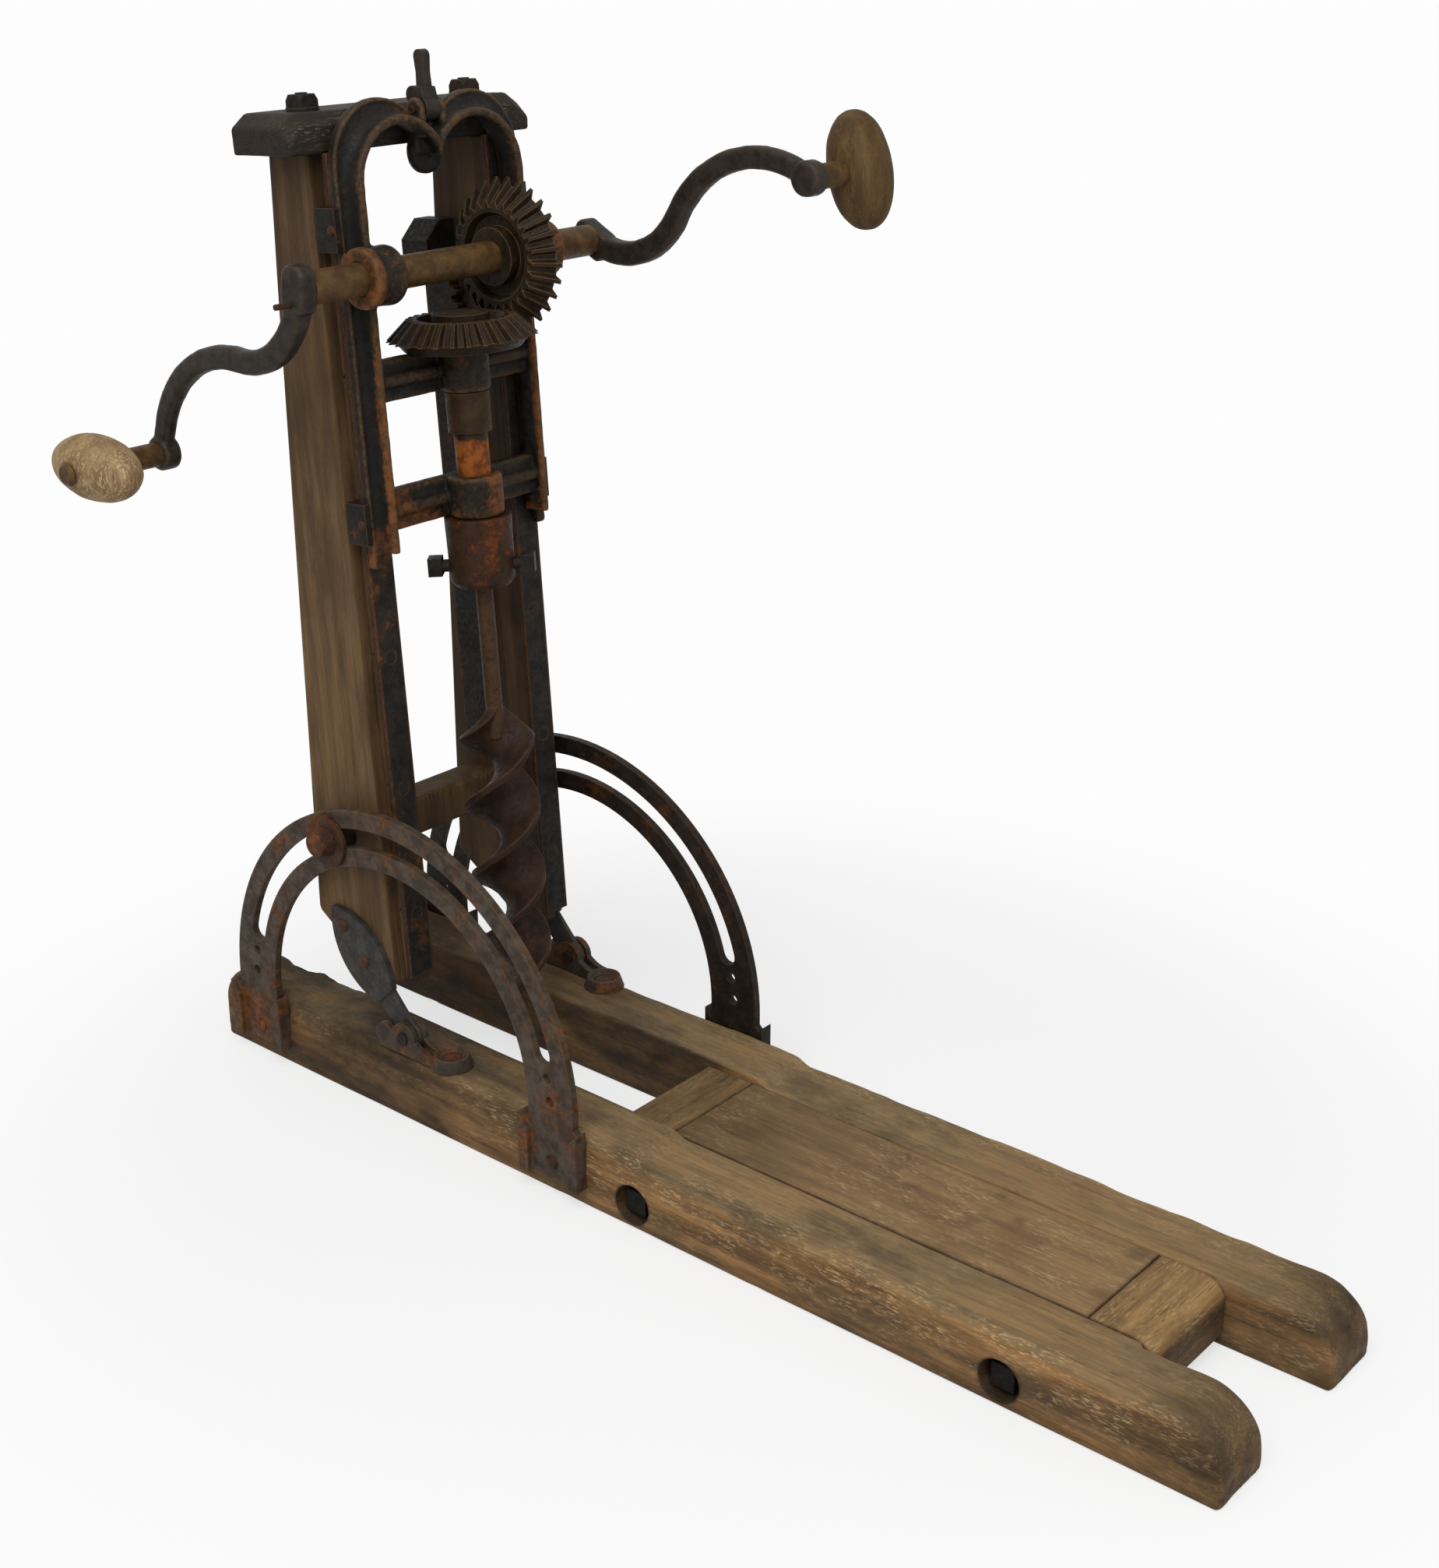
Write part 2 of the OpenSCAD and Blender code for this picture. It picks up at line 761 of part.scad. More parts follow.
// Cap bar: chamfered along its front top edge and at both ends.
module cap_bar() {
    half = cap_len / 2;
    front_y = wood_y;
    top_z = post_z1 + cap_h;
    color(dark_oak) leaning() difference() {
        intersection() {
            front_plate(front_y + cap_d, cap_d) polygon([[-half, post_z1], [half, post_z1],
                [half, top_z - cap_chamfer], [half - 1.4 * cap_chamfer, top_z],
                [-half + 1.4 * cap_chamfer, top_z], [-half, top_z - cap_chamfer]]);
            side_plate(-half, cap_len) polygon([[front_y, post_z1], [front_y + cap_d, post_z1],
                [front_y + cap_d, top_z], [front_y + cap_chamfer, top_z], [front_y, top_z - cap_chamfer]]);
        }
        at_cap_bolts() translate([0, 0, -1]) cylinder(d = cap_bolt_d + 2 * hole_fit, h = cap_h + 2);
    }
}

cap_nut_w = 15;
cap_nut_h = 8;
cap_washer_d = 22;
cap_bolt_show = 1;

module cap_bolts() {
    color(iron) leaning() at_cap_bolts() translate([0, 0, -cap_bolt_deep])
        cylinder(d = cap_bolt_d, h = cap_bolt_deep + cap_h + washer_t + cap_nut_h + cap_bolt_show);
}

module cap_washers() {
    color(iron) leaning() at_cap_bolts() translate([0, 0, cap_h]) difference() {
        cylinder(d = cap_washer_d, h = washer_t);
        translate([0, 0, -1]) cylinder(d = cap_bolt_d + 2 * hole_fit, h = washer_t + 2);
    }
}

// Square nuts with their corners turned down at the top.
module cap_nuts() {
    color(iron) leaning() at_cap_bolts() translate([0, 0, cap_h + washer_t]) difference() {
        intersection() {
            translate([-cap_nut_w / 2, -cap_nut_w / 2, 0]) cube([cap_nut_w, cap_nut_w, cap_nut_h]);
            cylinder(d1 = cap_nut_w * 1.7, d2 = cap_nut_w * 1.15, h = cap_nut_h);
        }
        translate([0, 0, -1]) cylinder(d = cap_bolt_d, h = cap_nut_h + 2);
    }
}

module stretcher() {
    color(oak) leaning() difference() {
        stretcher_bar(0);
        rod_x(-post_out, 2 * post_out, lock_rod_d + 2 * hole_fit, lock_y, lock_z);
    }
}

// Strap: a pointed leaf on the post, and a thinner tongue with an eye on the hinge pin.
strap_eye_r = 11;
tongue_w = 20;
tongue_t = strap_t - 1.5;
leaf_from = strap_len * 0.2;
leaf_cut = strap_len * 0.3;

module leaf_outline() {
    half_l = (strap_len - leaf_from) / 2;
    half_w = strap_w / 2;
    arc_r = (half_l * half_l + half_w * half_w) / (2 * half_w);
    translate([pin_y, pin_z]) rotate(strap_angle) intersection() {
        translate([leaf_from + half_l, arc_r - half_w]) circle(r = arc_r, $fn = 96);
        translate([leaf_from + half_l, half_w - arc_r]) circle(r = arc_r, $fn = 96);
        translate([leaf_cut, -strap_w]) square([strap_len, 2 * strap_w]);
    }
}

module tongue_outline() {
    translate([pin_y, pin_z]) rotate(strap_angle) {
        translate([0, -tongue_w / 2]) square([strap_len / 2, tongue_w]);
        circle(r = strap_eye_r);
    }
}

module right_strap_solid() {
    difference() {
        union() {
            side_plate(post_out, strap_t) leaf_outline();
            side_plate(post_out, tongue_t) tongue_outline();
        }
        rod_x(post_out - 1, strap_t + 2, pin_d + 2 * run_fit, pin_y, pin_z);
        at_strap_screws() shank_hole(strap_screw_d, strap_screw_l);
    }
}

module right_strap() {
    color(grey_iron) leaning() right_strap_solid();
}

module left_strap() {
    color(grey_iron) leaning() mirror([1, 0, 0]) right_strap_solid();
}

module strap_screws() {
    color(rusty_iron) leaning() both_sides() at_strap_screws() round_screw(strap_screw_d, strap_screw_l);
}

// One lock rod runs through the stretcher and clamps both posts to the quadrants.
lock_head_d = 23;
lock_head_t = 10;
lock_nut_w = 20;
lock_spacer_wall = 6;
lock_face_x = quad_x + quad_t + slide_gap;
lock_end_x = lock_face_x + lock_washer_t;

module lock_rod() {
    color(rusty_iron) leaning() {
        rod_x(-lock_end_x, 2 * lock_end_x + lock_head_t, lock_rod_d, lock_y, lock_z);
        translate([-lock_end_x, lock_y, lock_z]) rotate([0, -90, 0])
            cylinder(d1 = lock_head_d, d2 = lock_head_d - 5, h = lock_head_t);
    }
}

module lock_spacers() {
    color(iron) leaning() both_sides() difference() {
        rod_x(post_out, quad_x - slide_gap - post_out, lock_rod_d + 2 * lock_spacer_wall, lock_y, lock_z);
        rod_x(post_out - 1, quad_x - post_out + 2, lock_rod_d + 2 * hole_fit, lock_y, lock_z);
    }
}

module lock_washers() {
    color(rusty_iron) leaning() both_sides() difference() {
        rod_x(lock_face_x, lock_washer_t, lock_washer_d, lock_y, lock_z);
        rod_x(lock_face_x - 1, lock_washer_t + 2, lock_rod_d + 2 * hole_fit, lock_y, lock_z);
    }
}

module lock_nut() {
    color(rusty_iron) leaning() difference() {
        translate([lock_end_x, lock_y - lock_nut_w / 2, lock_z - lock_nut_w / 2])
            cube([lock_head_t - 2, lock_nut_w, lock_nut_w]);
        rod_x(lock_end_x - 1, lock_head_t + 2, lock_rod_d, lock_y, lock_z);
    }
}

// Lifting rack on the right post: straight-sided teeth that face the seat.
rack_screw_d = 5;
rack_screw_l = 24;
rack_screw_n = 4;
rack_teeth = floor(rack_len / rack_pitch);

module at_rack_screws() {
    step = rack_len / rack_screw_n;
    for (i = [0 : rack_screw_n - 1])
        translate([post_in - rack_t, rack_back_y - rack_w / 2, rack_z0 + step * (i + 0.5)])
            rotate([0, -90, 0]) children();
}

module rack_outline() {
    root_y = rack_tip_y + 2.25 * rack_module;
    tooth_tip = rack_pitch * 0.14;
    tooth_root = rack_pitch * 0.32;
    phase_z = pinion_z + rack_pitch / 2;
    first = ceil((rack_z0 + rack_pitch - phase_z) / rack_pitch);
    tooth = [[root_y, -tooth_root], [rack_tip_y, -tooth_tip], [rack_tip_y, tooth_tip], [root_y, tooth_root]];
    polygon(concat([[rack_back_y, rack_z0 + rack_len], [rack_back_y, rack_z0], [root_y, rack_z0]],
        [for (i = [first : first + rack_teeth - 3]) for (p = tooth) [p[0], phase_z + i * rack_pitch + p[1]]],
        [[root_y, rack_z0 + rack_len]]));
}

module lift_rack() {
    color(painted_iron) leaning() difference() {
        side_plate(post_in - rack_t, rack_t) rack_outline();
        at_rack_screws() flat_hole(rack_screw_d, rack_screw_l);
    }
}

module rack_screws() {
    color(iron) leaning() at_rack_screws() flat_screw(rack_screw_d, rack_screw_l);
}

// A sloped block at the rack's upper end.
module rack_stop() {
    stop_l = 28;
    stop_h = 30;
    z0 = rack_z0 + rack_len;
    color(iron) leaning() front_plate(rack_back_y, rack_w) polygon([[post_in - stop_l, z0], [post_in, z0],
        [post_in, z0 + stop_h], [post_in - stop_l * 0.5, z0 + stop_h], [post_in - stop_l, z0 + stop_h * 0.55]]);
}

// Carriage outline: two legs with stepped feet under two arches, and a valley between the arches.
module half_outline() {
    polygon([[leg_in - 1, arch_z], [leg_in - 1, leg_z0 + foot_rise], [leg_in + foot_step, leg_z0 + foot_rise],
        [leg_in + foot_step, leg_z0], [leg_out, leg_z0], [leg_out, arch_z]]);
    intersection() {
        translate([arch_out_r, arch_z]) circle(r = arch_out_r, $fn = 96);
        translate([0, arch_z]) square([leg_out, leg_out]);
    }
    translate([0, arch_z]) square([lug_x1, valley_rise]);
}

// One window, with its edge moved out by a width.
module window_outline(out) {
    translate([window_x, window_z]) circle(r = window_r + out, $fn = 96);
    translate([-lug_x1, leg_z0 - 1]) square([leg_in + out + lug_x1, window_z - leg_z0 + 1]);
}

lug_x0 = latch_t / 2 + slide_gap;
lug_x1 = lug_x0 + lug_t;
valley_rise = 20;
lug_foot = 14;
pendant_d = 29;
pendant_up = valley_rise - pendant_d / 2 - 1.5;

// The back plate, the deep web along the windows, and a round pendant behind the valley.
module frame_plate() {
    difference() {
        front_plate(frame_back_y, frame_d) {
            half_outline();
            mirror([1, 0]) half_outline();
        }
        front_plate(frame_back_y + 1, frame_d + 2) {
            window_outline(0);
            mirror([1, 0]) window_outline(0);
        }
        front_plate(frame_back_y - plate_t, frame_d) difference() {
            translate([-rail_out, leg_z0 - 2]) square([2 * rail_out, leg_drop + arch_rise + 2 * leg_out]);
            window_outline(web_w);
            mirror([1, 0]) window_outline(web_w);
        }
    }
    front_plate(frame_back_y + 1, plate_t) translate([0, arch_z + pendant_up]) circle(d = pendant_d);
}

// A cross-bar: an upright web with a half-round rib along the middle of its front.
module cross_bar(z0) {
    span = leg_in + eps;
    translate([-span, bar_front_y, z0]) cube([2 * span, bar_t, bar_h]);
    rod_x(-span, 2 * span, bar_t * 0.9, bar_front_y, z0 + bar_h / 2);
}

module spindle_boss(z0, d) {
    translate([0, axis_y, z0]) cylinder(d = d, h = bar_h);
}

// The latch lugs stand on the valley, one on each side of the latch.
module latch_lugs() {
    both_sides() side_plate(lug_x0, lug_t) {
        translate([latch_y, latch_z]) circle(r = lug_r);
        translate([latch_y - lug_r, arch_z + lug_foot]) square([2 * lug_r, latch_z - arch_z - lug_foot]);
    }
}

// An arm behind the upper cross-bar carries the lifting pinion's axle.
module pinion_arm() {
    x1 = pinion_x0 - slide_gap;
    y0 = bar_front_y + bar_t - eps;
    translate([x1 - arm_lug_t, y0, pinion_z - arm_lug_d / 2]) cube([arm_lug_t, pinion_y - y0, arm_lug_d]);
    rod_x(x1 - arm_lug_t, arm_lug_t, arm_lug_d, pinion_y, pinion_z);
}

module carriage_frame() {
    color(painted_iron) leaning() difference() {
        union() {
            frame_plate();
            cross_bar(bar_up_z);
            cross_bar(bar_low_z);
            spindle_boss(bar_up_z, boss_up_d);
            spindle_boss(bar_low_z, boss_low_d);
            both_sides() rod_x(bearing_x0, bearing_l, bearing_d, axis_y, shaft_z);
            latch_lugs();
            pinion_arm();
        }
        rod_x(-rail_out, 2 * rail_out, shaft_d + 2 * run_fit, axis_y, shaft_z);
        translate([0, axis_y, bar_low_z - 1]) cylinder(d = spindle_d + 2 * run_fit, h = bar_pitch + bar_h + 2);
        rod_x(-lug_x1 - 3, 2 * lug_x1 + 6, latch_pin_d + 2 * hole_fit, latch_y, latch_z);
        rod_x(pinion_x0 - arm_lug_t - 1, arm_lug_t + 1, axle_d, pinion_y, pinion_z);
        both_sides() at_clip_screws() shank_hole(clip_screw_d, clip_screw_l);
    }
}

// Clips on the legs' outer sides hook behind the guide strips.
clip_screw_d = 4;
clip_screw_l = 14;
clip_lap = 8;

module at_clip_screws() {
    for (z = clip_zs) translate([leg_out + clip_t, frame_back_y - clip_lap / 2, z + clip_h / 2])
        rotate([0, 90, 0]) children();
}

module clip_outline() {
    hook_y = wood_y + slide_gap;
    polygon([[leg_out, frame_back_y - clip_lap], [leg_out + clip_t, frame_back_y - clip_lap],
        [leg_out + clip_t, hook_y + hook_t], [strip_out - hook_in, hook_y + hook_t],
        [strip_out - hook_in, hook_y], [leg_out, hook_y]]);
}

module guide_clips() {
    color(iron) leaning() both_sides() difference() {
        for (z = clip_zs) translate([0, 0, z]) linear_extrude(clip_h) clip_outline();
        at_clip_screws() shank_hole(clip_screw_d, clip_screw_l);
    }
}

module clip_screws() {
    color(rusty_iron) leaning() both_sides() at_clip_screws() round_screw(clip_screw_d, clip_screw_l);
}

module latch_pin() {
    color(iron) leaning() rod_x(-lug_x1 - 2, 2 * lug_x1 + 4, latch_pin_d, latch_y, latch_z);
}

module pinion_axle() {
    x0 = pinion_x0 - slide_gap - arm_lug_t;
    color(iron) leaning() rod_x(x0, post_in - slide_gap - x0, axle_d, pinion_y, pinion_z);
}

// Bevel tooth ring: a toothed outline that shrinks towards the point where the two axes meet.
module gear_outline(shift) {
    gear_module = 2 * gear_r / gear_teeth;
    tip_r = gear_r + 0.72 * gear_module;
    root_r = gear_r - 1.15 * gear_module;
    step = 360 / gear_teeth;
    polygon([for (i = [0 : gear_teeth - 1]) for (k = [[root_r, -0.31], [tip_r, -0.12], [tip_r, 0.12],
        [root_r, 0.31]]) let (a = step * (i + k[1] + shift)) [k[0] * cos(a), k[0] * sin(a)]]);
}

// A bevel gear with its pitch circle at Z = 0 and its teeth rising to the axis crossing above.
module bevel_gear(shift, hub_top, hub_back, bore) {
    rim_r = gear_r - 1.15 * 2 * gear_r / gear_teeth;
    difference() {
        union() {
            linear_extrude(gear_face, scale = (gear_r - gear_face) / gear_r) gear_outline(shift);
            translate([0, 0, -gear_web]) cylinder(r1 = rim_r - 5, r2 = rim_r + 0.4 * gear_r / gear_teeth,
                h = gear_web + eps);
            translate([0, 0, -hub_back]) cylinder(d = gear_hub_d, h = hub_back + hub_top);
        }
        dish_r = (rim_r * (gear_r - gear_face) / gear_r) - 3;
        translate([0, 0, gear_face - 6]) difference() {
            cylinder(r1 = dish_r - 3, r2 = dish_r, h = 6 + eps);
            translate([0, 0, -1]) cylinder(d = gear_hub_d - eps, h = 8);
        }
        translate([0, 0, -hub_back - 1]) cylinder(d = bore, h = hub_back + hub_top + 2);
    }
}

// The shaft is turned down at both ends to pass through the arms' heads.
module crank_shaft() {
    body_l = shaft_len - 2 * hub_l;
    color(iron) leaning() difference() {
        union() {
            rod_x(-body_l / 2, body_l, shaft_d, axis_y, shaft_z);
            rod_x(-shaft_len / 2, shaft_len, tenon_d, axis_y, shaft_z);
        }
        at_drive_pins() drive_pin();
    }
}

module crank_gear() {
    hub_back = bearing_x0 - slide_gap - gear_r;
    color(gear_iron) leaning() translate([gear_r, axis_y, shaft_z]) rotate([0, -90, 0])
        bevel_gear(0.5, gear_face + 3, hub_back, shaft_d);
}

// Crank arm in its own plane: a square head, two quarter-circle bends of opposite hand, and an eye for the grip.
module bar_section() {
    c = arm_t * 0.28;
    w = arm_w / 2;
    t = arm_t / 2;
    polygon([[-w, -t + c], [-w + c, -t], [w - c, -t], [w, -t + c], [w, t - c], [w - c, t], [-w + c, t],
        [-w, t - c]]);
}

module quarter_bend(chord) {
    rotate_extrude(angle = 90, $fn = 96) translate([chord / sqrt(2), 0]) bar_section();
}

// The head lies along the start of the first bend, with its end corners cut.
module head_outline() {
    c = hub_w * 0.22;
    w = hub_w / 2;
    rotate(45) polygon([[-hub_over + c, -w], [head_in, -w], [head_in, w], [-hub_over + c, w],
        [-hub_over, w - c], [-hub_over, -w + c]]);
}

module arm_shape() {
    c1 = crank_r * first_bend;
    c2 = crank_r - c1;
    eye_d = grip_pin_d + 2 * eye_wall;
    difference() {
        union() {
            translate([c1 / 2, -c1 / 2, 0]) rotate(45) quarter_bend(c1);
            translate([c1 + c2 / 2, c2 / 2, 0]) rotate(225) quarter_bend(c2);
            translate([c1, 0, 0]) rotate(-45) cube([lap_l, arm_w - 2 * lap_in, arm_t - 2 * lap_in], center = true);
            translate([0, 0, -hub_l / 2]) linear_extrude(hub_l) head_outline();
            translate([crank_r, 0, 0]) cylinder(d = eye_d, h = arm_t + 2, center = true);
        }
        cylinder(d = tenon_d, h = hub_l + 2, center = true);
        translate([crank_r, 0, 0]) cylinder(d = grip_pin_d, h = arm_t + 6, center = true);
    }
}

// Puts a drawing of an arm's plane at one end of the shaft, turned up from the front by an angle.
module at_arm(x, angle) {
    translate([x, axis_y, shaft_z]) rotate([-angle, 0, 0]) rotate([90, 0, -90]) children();
}

// Drive pins lie beside the shaft's ends, through the heads and into the shaft's shoulders.
module at_drive_pins() {
    at_arm(-arm_x, left_arm_angle) rotate(45) translate([drive_pin_off, 0, 0]) children();
    at_arm(arm_x, right_arm_angle) mirror([0, 0, 1]) rotate(-45) translate([drive_pin_off, 0, 0]) children();
}

module drive_pin() {
    translate([0, 0, -hub_l / 2 - drive_pin_in]) cylinder(d = drive_pin_d, h = hub_l + drive_pin_in + drive_pin_out);
}

module left_crank_arm() {
    color(grey_iron) leaning() difference() {
        at_arm(-arm_x, left_arm_angle) arm_shape();
        at_drive_pins() drive_pin();
    }
}

module right_crank_arm() {
    color(grey_iron) leaning() difference() {
        at_arm(arm_x, right_arm_angle) mirror([0, 1, 0]) arm_shape();
        at_drive_pins() drive_pin();
    }
}

module drive_pins() {
    color(rusty_iron) leaning() at_drive_pins() drive_pin();
}

// Grip pins run out from the arms' eyes through the grips and end in a small head.
module grip_pin_shape() {
    shoulder_d = grip_pin_d + 5;
    grip_face = grip_out - grip_d / 2;
    end = grip_out + grip_d / 2 + 1;
    head_t = 3;
    translate([crank_r, 0, -arm_t / 2 - 1]) cylinder(d = grip_pin_d, h = end + arm_t / 2 + 1);
    translate([crank_r, 0, arm_t / 2 + 1]) cylinder(d = shoulder_d, h = grip_face - arm_t / 2 - 2);
    translate([crank_r, 0, end]) cylinder(d1 = shoulder_d, d2 = grip_pin_d, h = head_t);
}

module grip_pins() {
    color(iron) leaning() {
        at_arm(-arm_x, left_arm_angle) grip_pin_shape();
        at_arm(arm_x, right_arm_angle) mirror([0, 0, 1]) grip_pin_shape();
    }
}

// A turned egg-shaped grip, drilled across its middle.
module grip_shape(angle) {
    a = grip_l / 2;
    b = grip_d / 2;
    rotate([-angle, 0, 0]) difference() {
        rotate([90, 0, 0]) rotate(45) rotate_extrude()
            polygon([for (i = [0 : 17]) let (t = 180 * i / 17 - 90) [b * max(cos(t), 0), a * sin(t)]]);
        rotate([0, 90, 0]) cylinder(d = grip_pin_d + 2 * run_fit, h = grip_d + 4, center = true);
    }
}

module at_grip(x, angle) {
    translate([x, axis_y - crank_r * cos(angle), shaft_z + crank_r * sin(angle)]) children();
}

module left_grip() {
    color(worn_wood) leaning() at_grip(-grip_x, left_arm_angle) grip_shape(left_grip_angle);
}

module right_grip() {
    color(worn_wood) leaning() at_grip(grip_x, right_arm_angle) grip_shape(right_grip_angle);
}

// Puts a piece on the spindle's axis.
module on_spindle() {
    translate([0, axis_y, 0]) children();
}

module spindle() {
    color(rusty_iron) leaning() on_spindle() {
        translate([0, 0, spindle_z0]) cylinder(d = spindle_d, h = gear_hub_top - spindle_z0);
        translate([0, 0, bar_up_z - slide_gap - collar_h]) cylinder(d = collar_d, h = collar_h);
    }
}

module spindle_gear() {
    color(gear_iron) leaning() on_spindle() translate([0, 0, shaft_z - gear_r])
        bevel_gear(0, gear_face + 3, gear_web, spindle_d);
}

module at_chuck_screws() {
    for (a = [spindle_angle, spindle_angle + 180]) rotate(a)
        translate([0, 0, chuck_screw_z]) rotate([0, 90, 0]) children();
}

module chuck() {
    color(rusty_iron) leaning() on_spindle() difference() {
        rotate_extrude() polygon([[0, chuck_z0], [chuck_d / 2 - chuck_edge, chuck_z0],
            [chuck_d / 2 - 1, chuck_z0 + chuck_edge], [chuck_d / 2, chuck_z1], [0, chuck_z1]]);
        translate([0, 0, spindle_z0]) cylinder(d = spindle_d, h = chuck_socket + 1);
        translate([0, 0, chuck_z0 - 1]) cylinder(d = shank_d, h = chuck_l);
        at_chuck_screws() translate([0, 0, shank_d / 2]) cylinder(d = chuck_screw_d, h = chuck_d);
    }
}

module chuck_screws() {
    head_w = 13;
    head_t = 10;
    neck = 4;
    color(iron) leaning() on_spindle() at_chuck_screws() {
        translate([0, 0, shank_d / 2]) cylinder(d = chuck_screw_d, h = (chuck_d - shank_d) / 2 + neck);
        translate([-head_w / 2, -head_w / 2, chuck_d / 2 + neck]) cube([head_w, head_w, head_t]);
    }
}

// Auger: a flat ribbon twisted right-handed, drawn in at the shoulder and at the lead point.
module ribbon_section() {
    r = auger_d / 2;
    h = ribbon_t / 2;
    w = sqrt(r * r - h * h);
    polygon([[-w, -h], [0, -h], [w, -h], [r, 0], [w, h], [0, h], [-w, h], [-r, 0]]);
}

module auger_bit() {
    turn = 360 / auger_pitch;
    shoulder = 18;
    face_z = twist_z1 - auger_pitch / 2;
    foot_angle = spindle_angle + (twist_z0 - face_z) * turn;
    color(gear_iron) leaning() on_spindle() {
        translate([0, 0, twist_z1 - eps]) cylinder(d = shank_d, h = spindle_z0 - twist_z1 - slide_gap);
        translate([0, 0, twist_z0]) rotate(foot_angle)
            linear_extrude(twist_len, twist = -twist_len * turn, slices = 64, segments = 0) ribbon_section();
        translate([0, 0, twist_z1 - eps]) rotate(spindle_angle + (twist_z1 - face_z) * turn)
            linear_extrude(shoulder, twist = -shoulder * turn, scale = 0.24, slices = 8, segments = 0)
                ribbon_section();
        translate([0, 0, twist_z0 - tip_len]) cylinder(d1 = 1, d2 = shank_d * 0.9, h = tip_len + 10);
    }
}

// Latch: a round boss and a round nose that swings back over the cap bar's edge.
latch_boss_r = 8;
nose_r2 = 6;
nose_up = 9;
tab_r = 4.6;
tab_waist = 3.6;

module latch_outline() {
    nose_y = wood_y - slide_gap - 1 - nose_r2 - latch_y;
    circle(r = latch_boss_r);
    translate([nose_y, nose_up]) circle(r = nose_r2);
    polygon([[-latch_boss_r * 0.7, latch_boss_r * 0.7], [-tab_waist, nose_up + nose_r2 * 0.8],
        [nose_y, nose_up + nose_r2], [nose_y, nose_up - nose_r2], [0, 0]]);
}

// The thumb lever above the nose is thinner, has a waist and a round end.
module latch_tab() {
    polygon([[-tab_r, nose_up], [-tab_waist, (nose_up + latch_h) / 2], [-tab_r, latch_h - tab_r],
        [tab_r, latch_h - tab_r], [tab_waist, (nose_up + latch_h) / 2], [tab_r, nose_up]]);
    translate([0, latch_h - tab_r]) circle(r = tab_r);
}

module latch() {
    color(iron) leaning() difference() {
        union() {
            side_plate(-latch_t / 2, latch_t) translate([latch_y, latch_z]) latch_outline();
            side_plate(-latch_t / 4, latch_t / 2) translate([latch_y, latch_z]) latch_tab();
        }
        rod_x(-latch_t, 2 * latch_t, latch_pin_d + 2 * run_fit, latch_y, latch_z);
    }
}

// Lifting pinion: a small spur gear that rolls on the rack.
module pinion_outline() {
    tip_r = pinion_r + 0.85 * rack_module;
    root_r = pinion_r - 1.15 * rack_module;
    step = 360 / pinion_teeth;
    polygon([for (i = [0 : pinion_teeth - 1]) for (k = [[root_r, -0.27], [pinion_r, -0.21], [tip_r, -0.08],
        [tip_r, 0.08], [pinion_r, 0.21], [root_r, 0.27]]) let (a = step * (i + k[1])) [k[0] * cos(a), k[0] * sin(a)]]);
}

module lift_pinion() {
    color(gear_iron) leaning() difference() {
        side_plate(pinion_x0, pinion_t) translate([pinion_y, pinion_z]) pinion_outline();
        rod_x(pinion_x0 - 1, pinion_t + 2, axle_d + 2 * run_fit, pinion_y, pinion_z);
    }
}

left_rail();
right_rail();
opening_crosspiece();
seat_board();
tail_crosspiece();
tie_bolts();
tie_washers();
tie_nuts();
left_quadrant();
right_quadrant();
quadrant_screws();
left_hinge_bracket();
right_hinge_bracket();
bracket_screws();
hinge_pins();
left_post();
right_post();
left_guide_strip();
right_guide_strip();
guide_strip_screws();
cap_bar();
cap_bolts();
cap_washers();
cap_nuts();
stretcher();
left_strap();
right_strap();
strap_screws();
lock_rod();
lock_spacers();
lock_washers();
lock_nut();
lift_rack();
rack_screws();
rack_stop();
carriage_frame();
guide_clips();
clip_screws();
latch_pin();
pinion_axle();
crank_shaft();
crank_gear();
left_crank_arm();
right_crank_arm();
drive_pins();
grip_pins();
left_grip();
right_grip();
spindle();
spindle_gear();
chuck();
chuck_screws();
auger_bit();
latch();
lift_pinion();
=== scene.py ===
"""Looks of a worn hand-cranked beam boring machine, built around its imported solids."""
import json
import math

import bmesh
import bpy
import numpy as np
from mathutils import Matrix, Vector


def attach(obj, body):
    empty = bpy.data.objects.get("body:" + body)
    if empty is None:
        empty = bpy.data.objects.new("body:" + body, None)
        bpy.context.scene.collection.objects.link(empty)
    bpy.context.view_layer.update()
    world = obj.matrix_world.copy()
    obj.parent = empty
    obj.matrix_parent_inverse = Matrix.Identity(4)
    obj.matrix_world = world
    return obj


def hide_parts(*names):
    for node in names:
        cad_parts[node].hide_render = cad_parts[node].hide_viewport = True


bl_info = {
    "name": "Beam boring machine",
    "version": (1, 0, 0),
    "blender": (4, 5, 0),
    "location": "View3D > Sidebar > Boring machine",
    "description": "Dresses a worn hand-cranked beam boring machine around its solids",
    "category": "Object",
}

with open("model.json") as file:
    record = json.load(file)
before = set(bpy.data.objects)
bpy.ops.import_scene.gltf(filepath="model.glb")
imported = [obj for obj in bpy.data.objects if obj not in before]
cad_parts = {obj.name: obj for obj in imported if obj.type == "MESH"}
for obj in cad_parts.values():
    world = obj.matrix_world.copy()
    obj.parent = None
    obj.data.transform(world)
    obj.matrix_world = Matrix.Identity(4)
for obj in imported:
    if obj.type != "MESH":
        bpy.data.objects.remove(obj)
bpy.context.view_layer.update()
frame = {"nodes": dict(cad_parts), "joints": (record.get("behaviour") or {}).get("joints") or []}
MM = 0.001
TINY = 1e-12

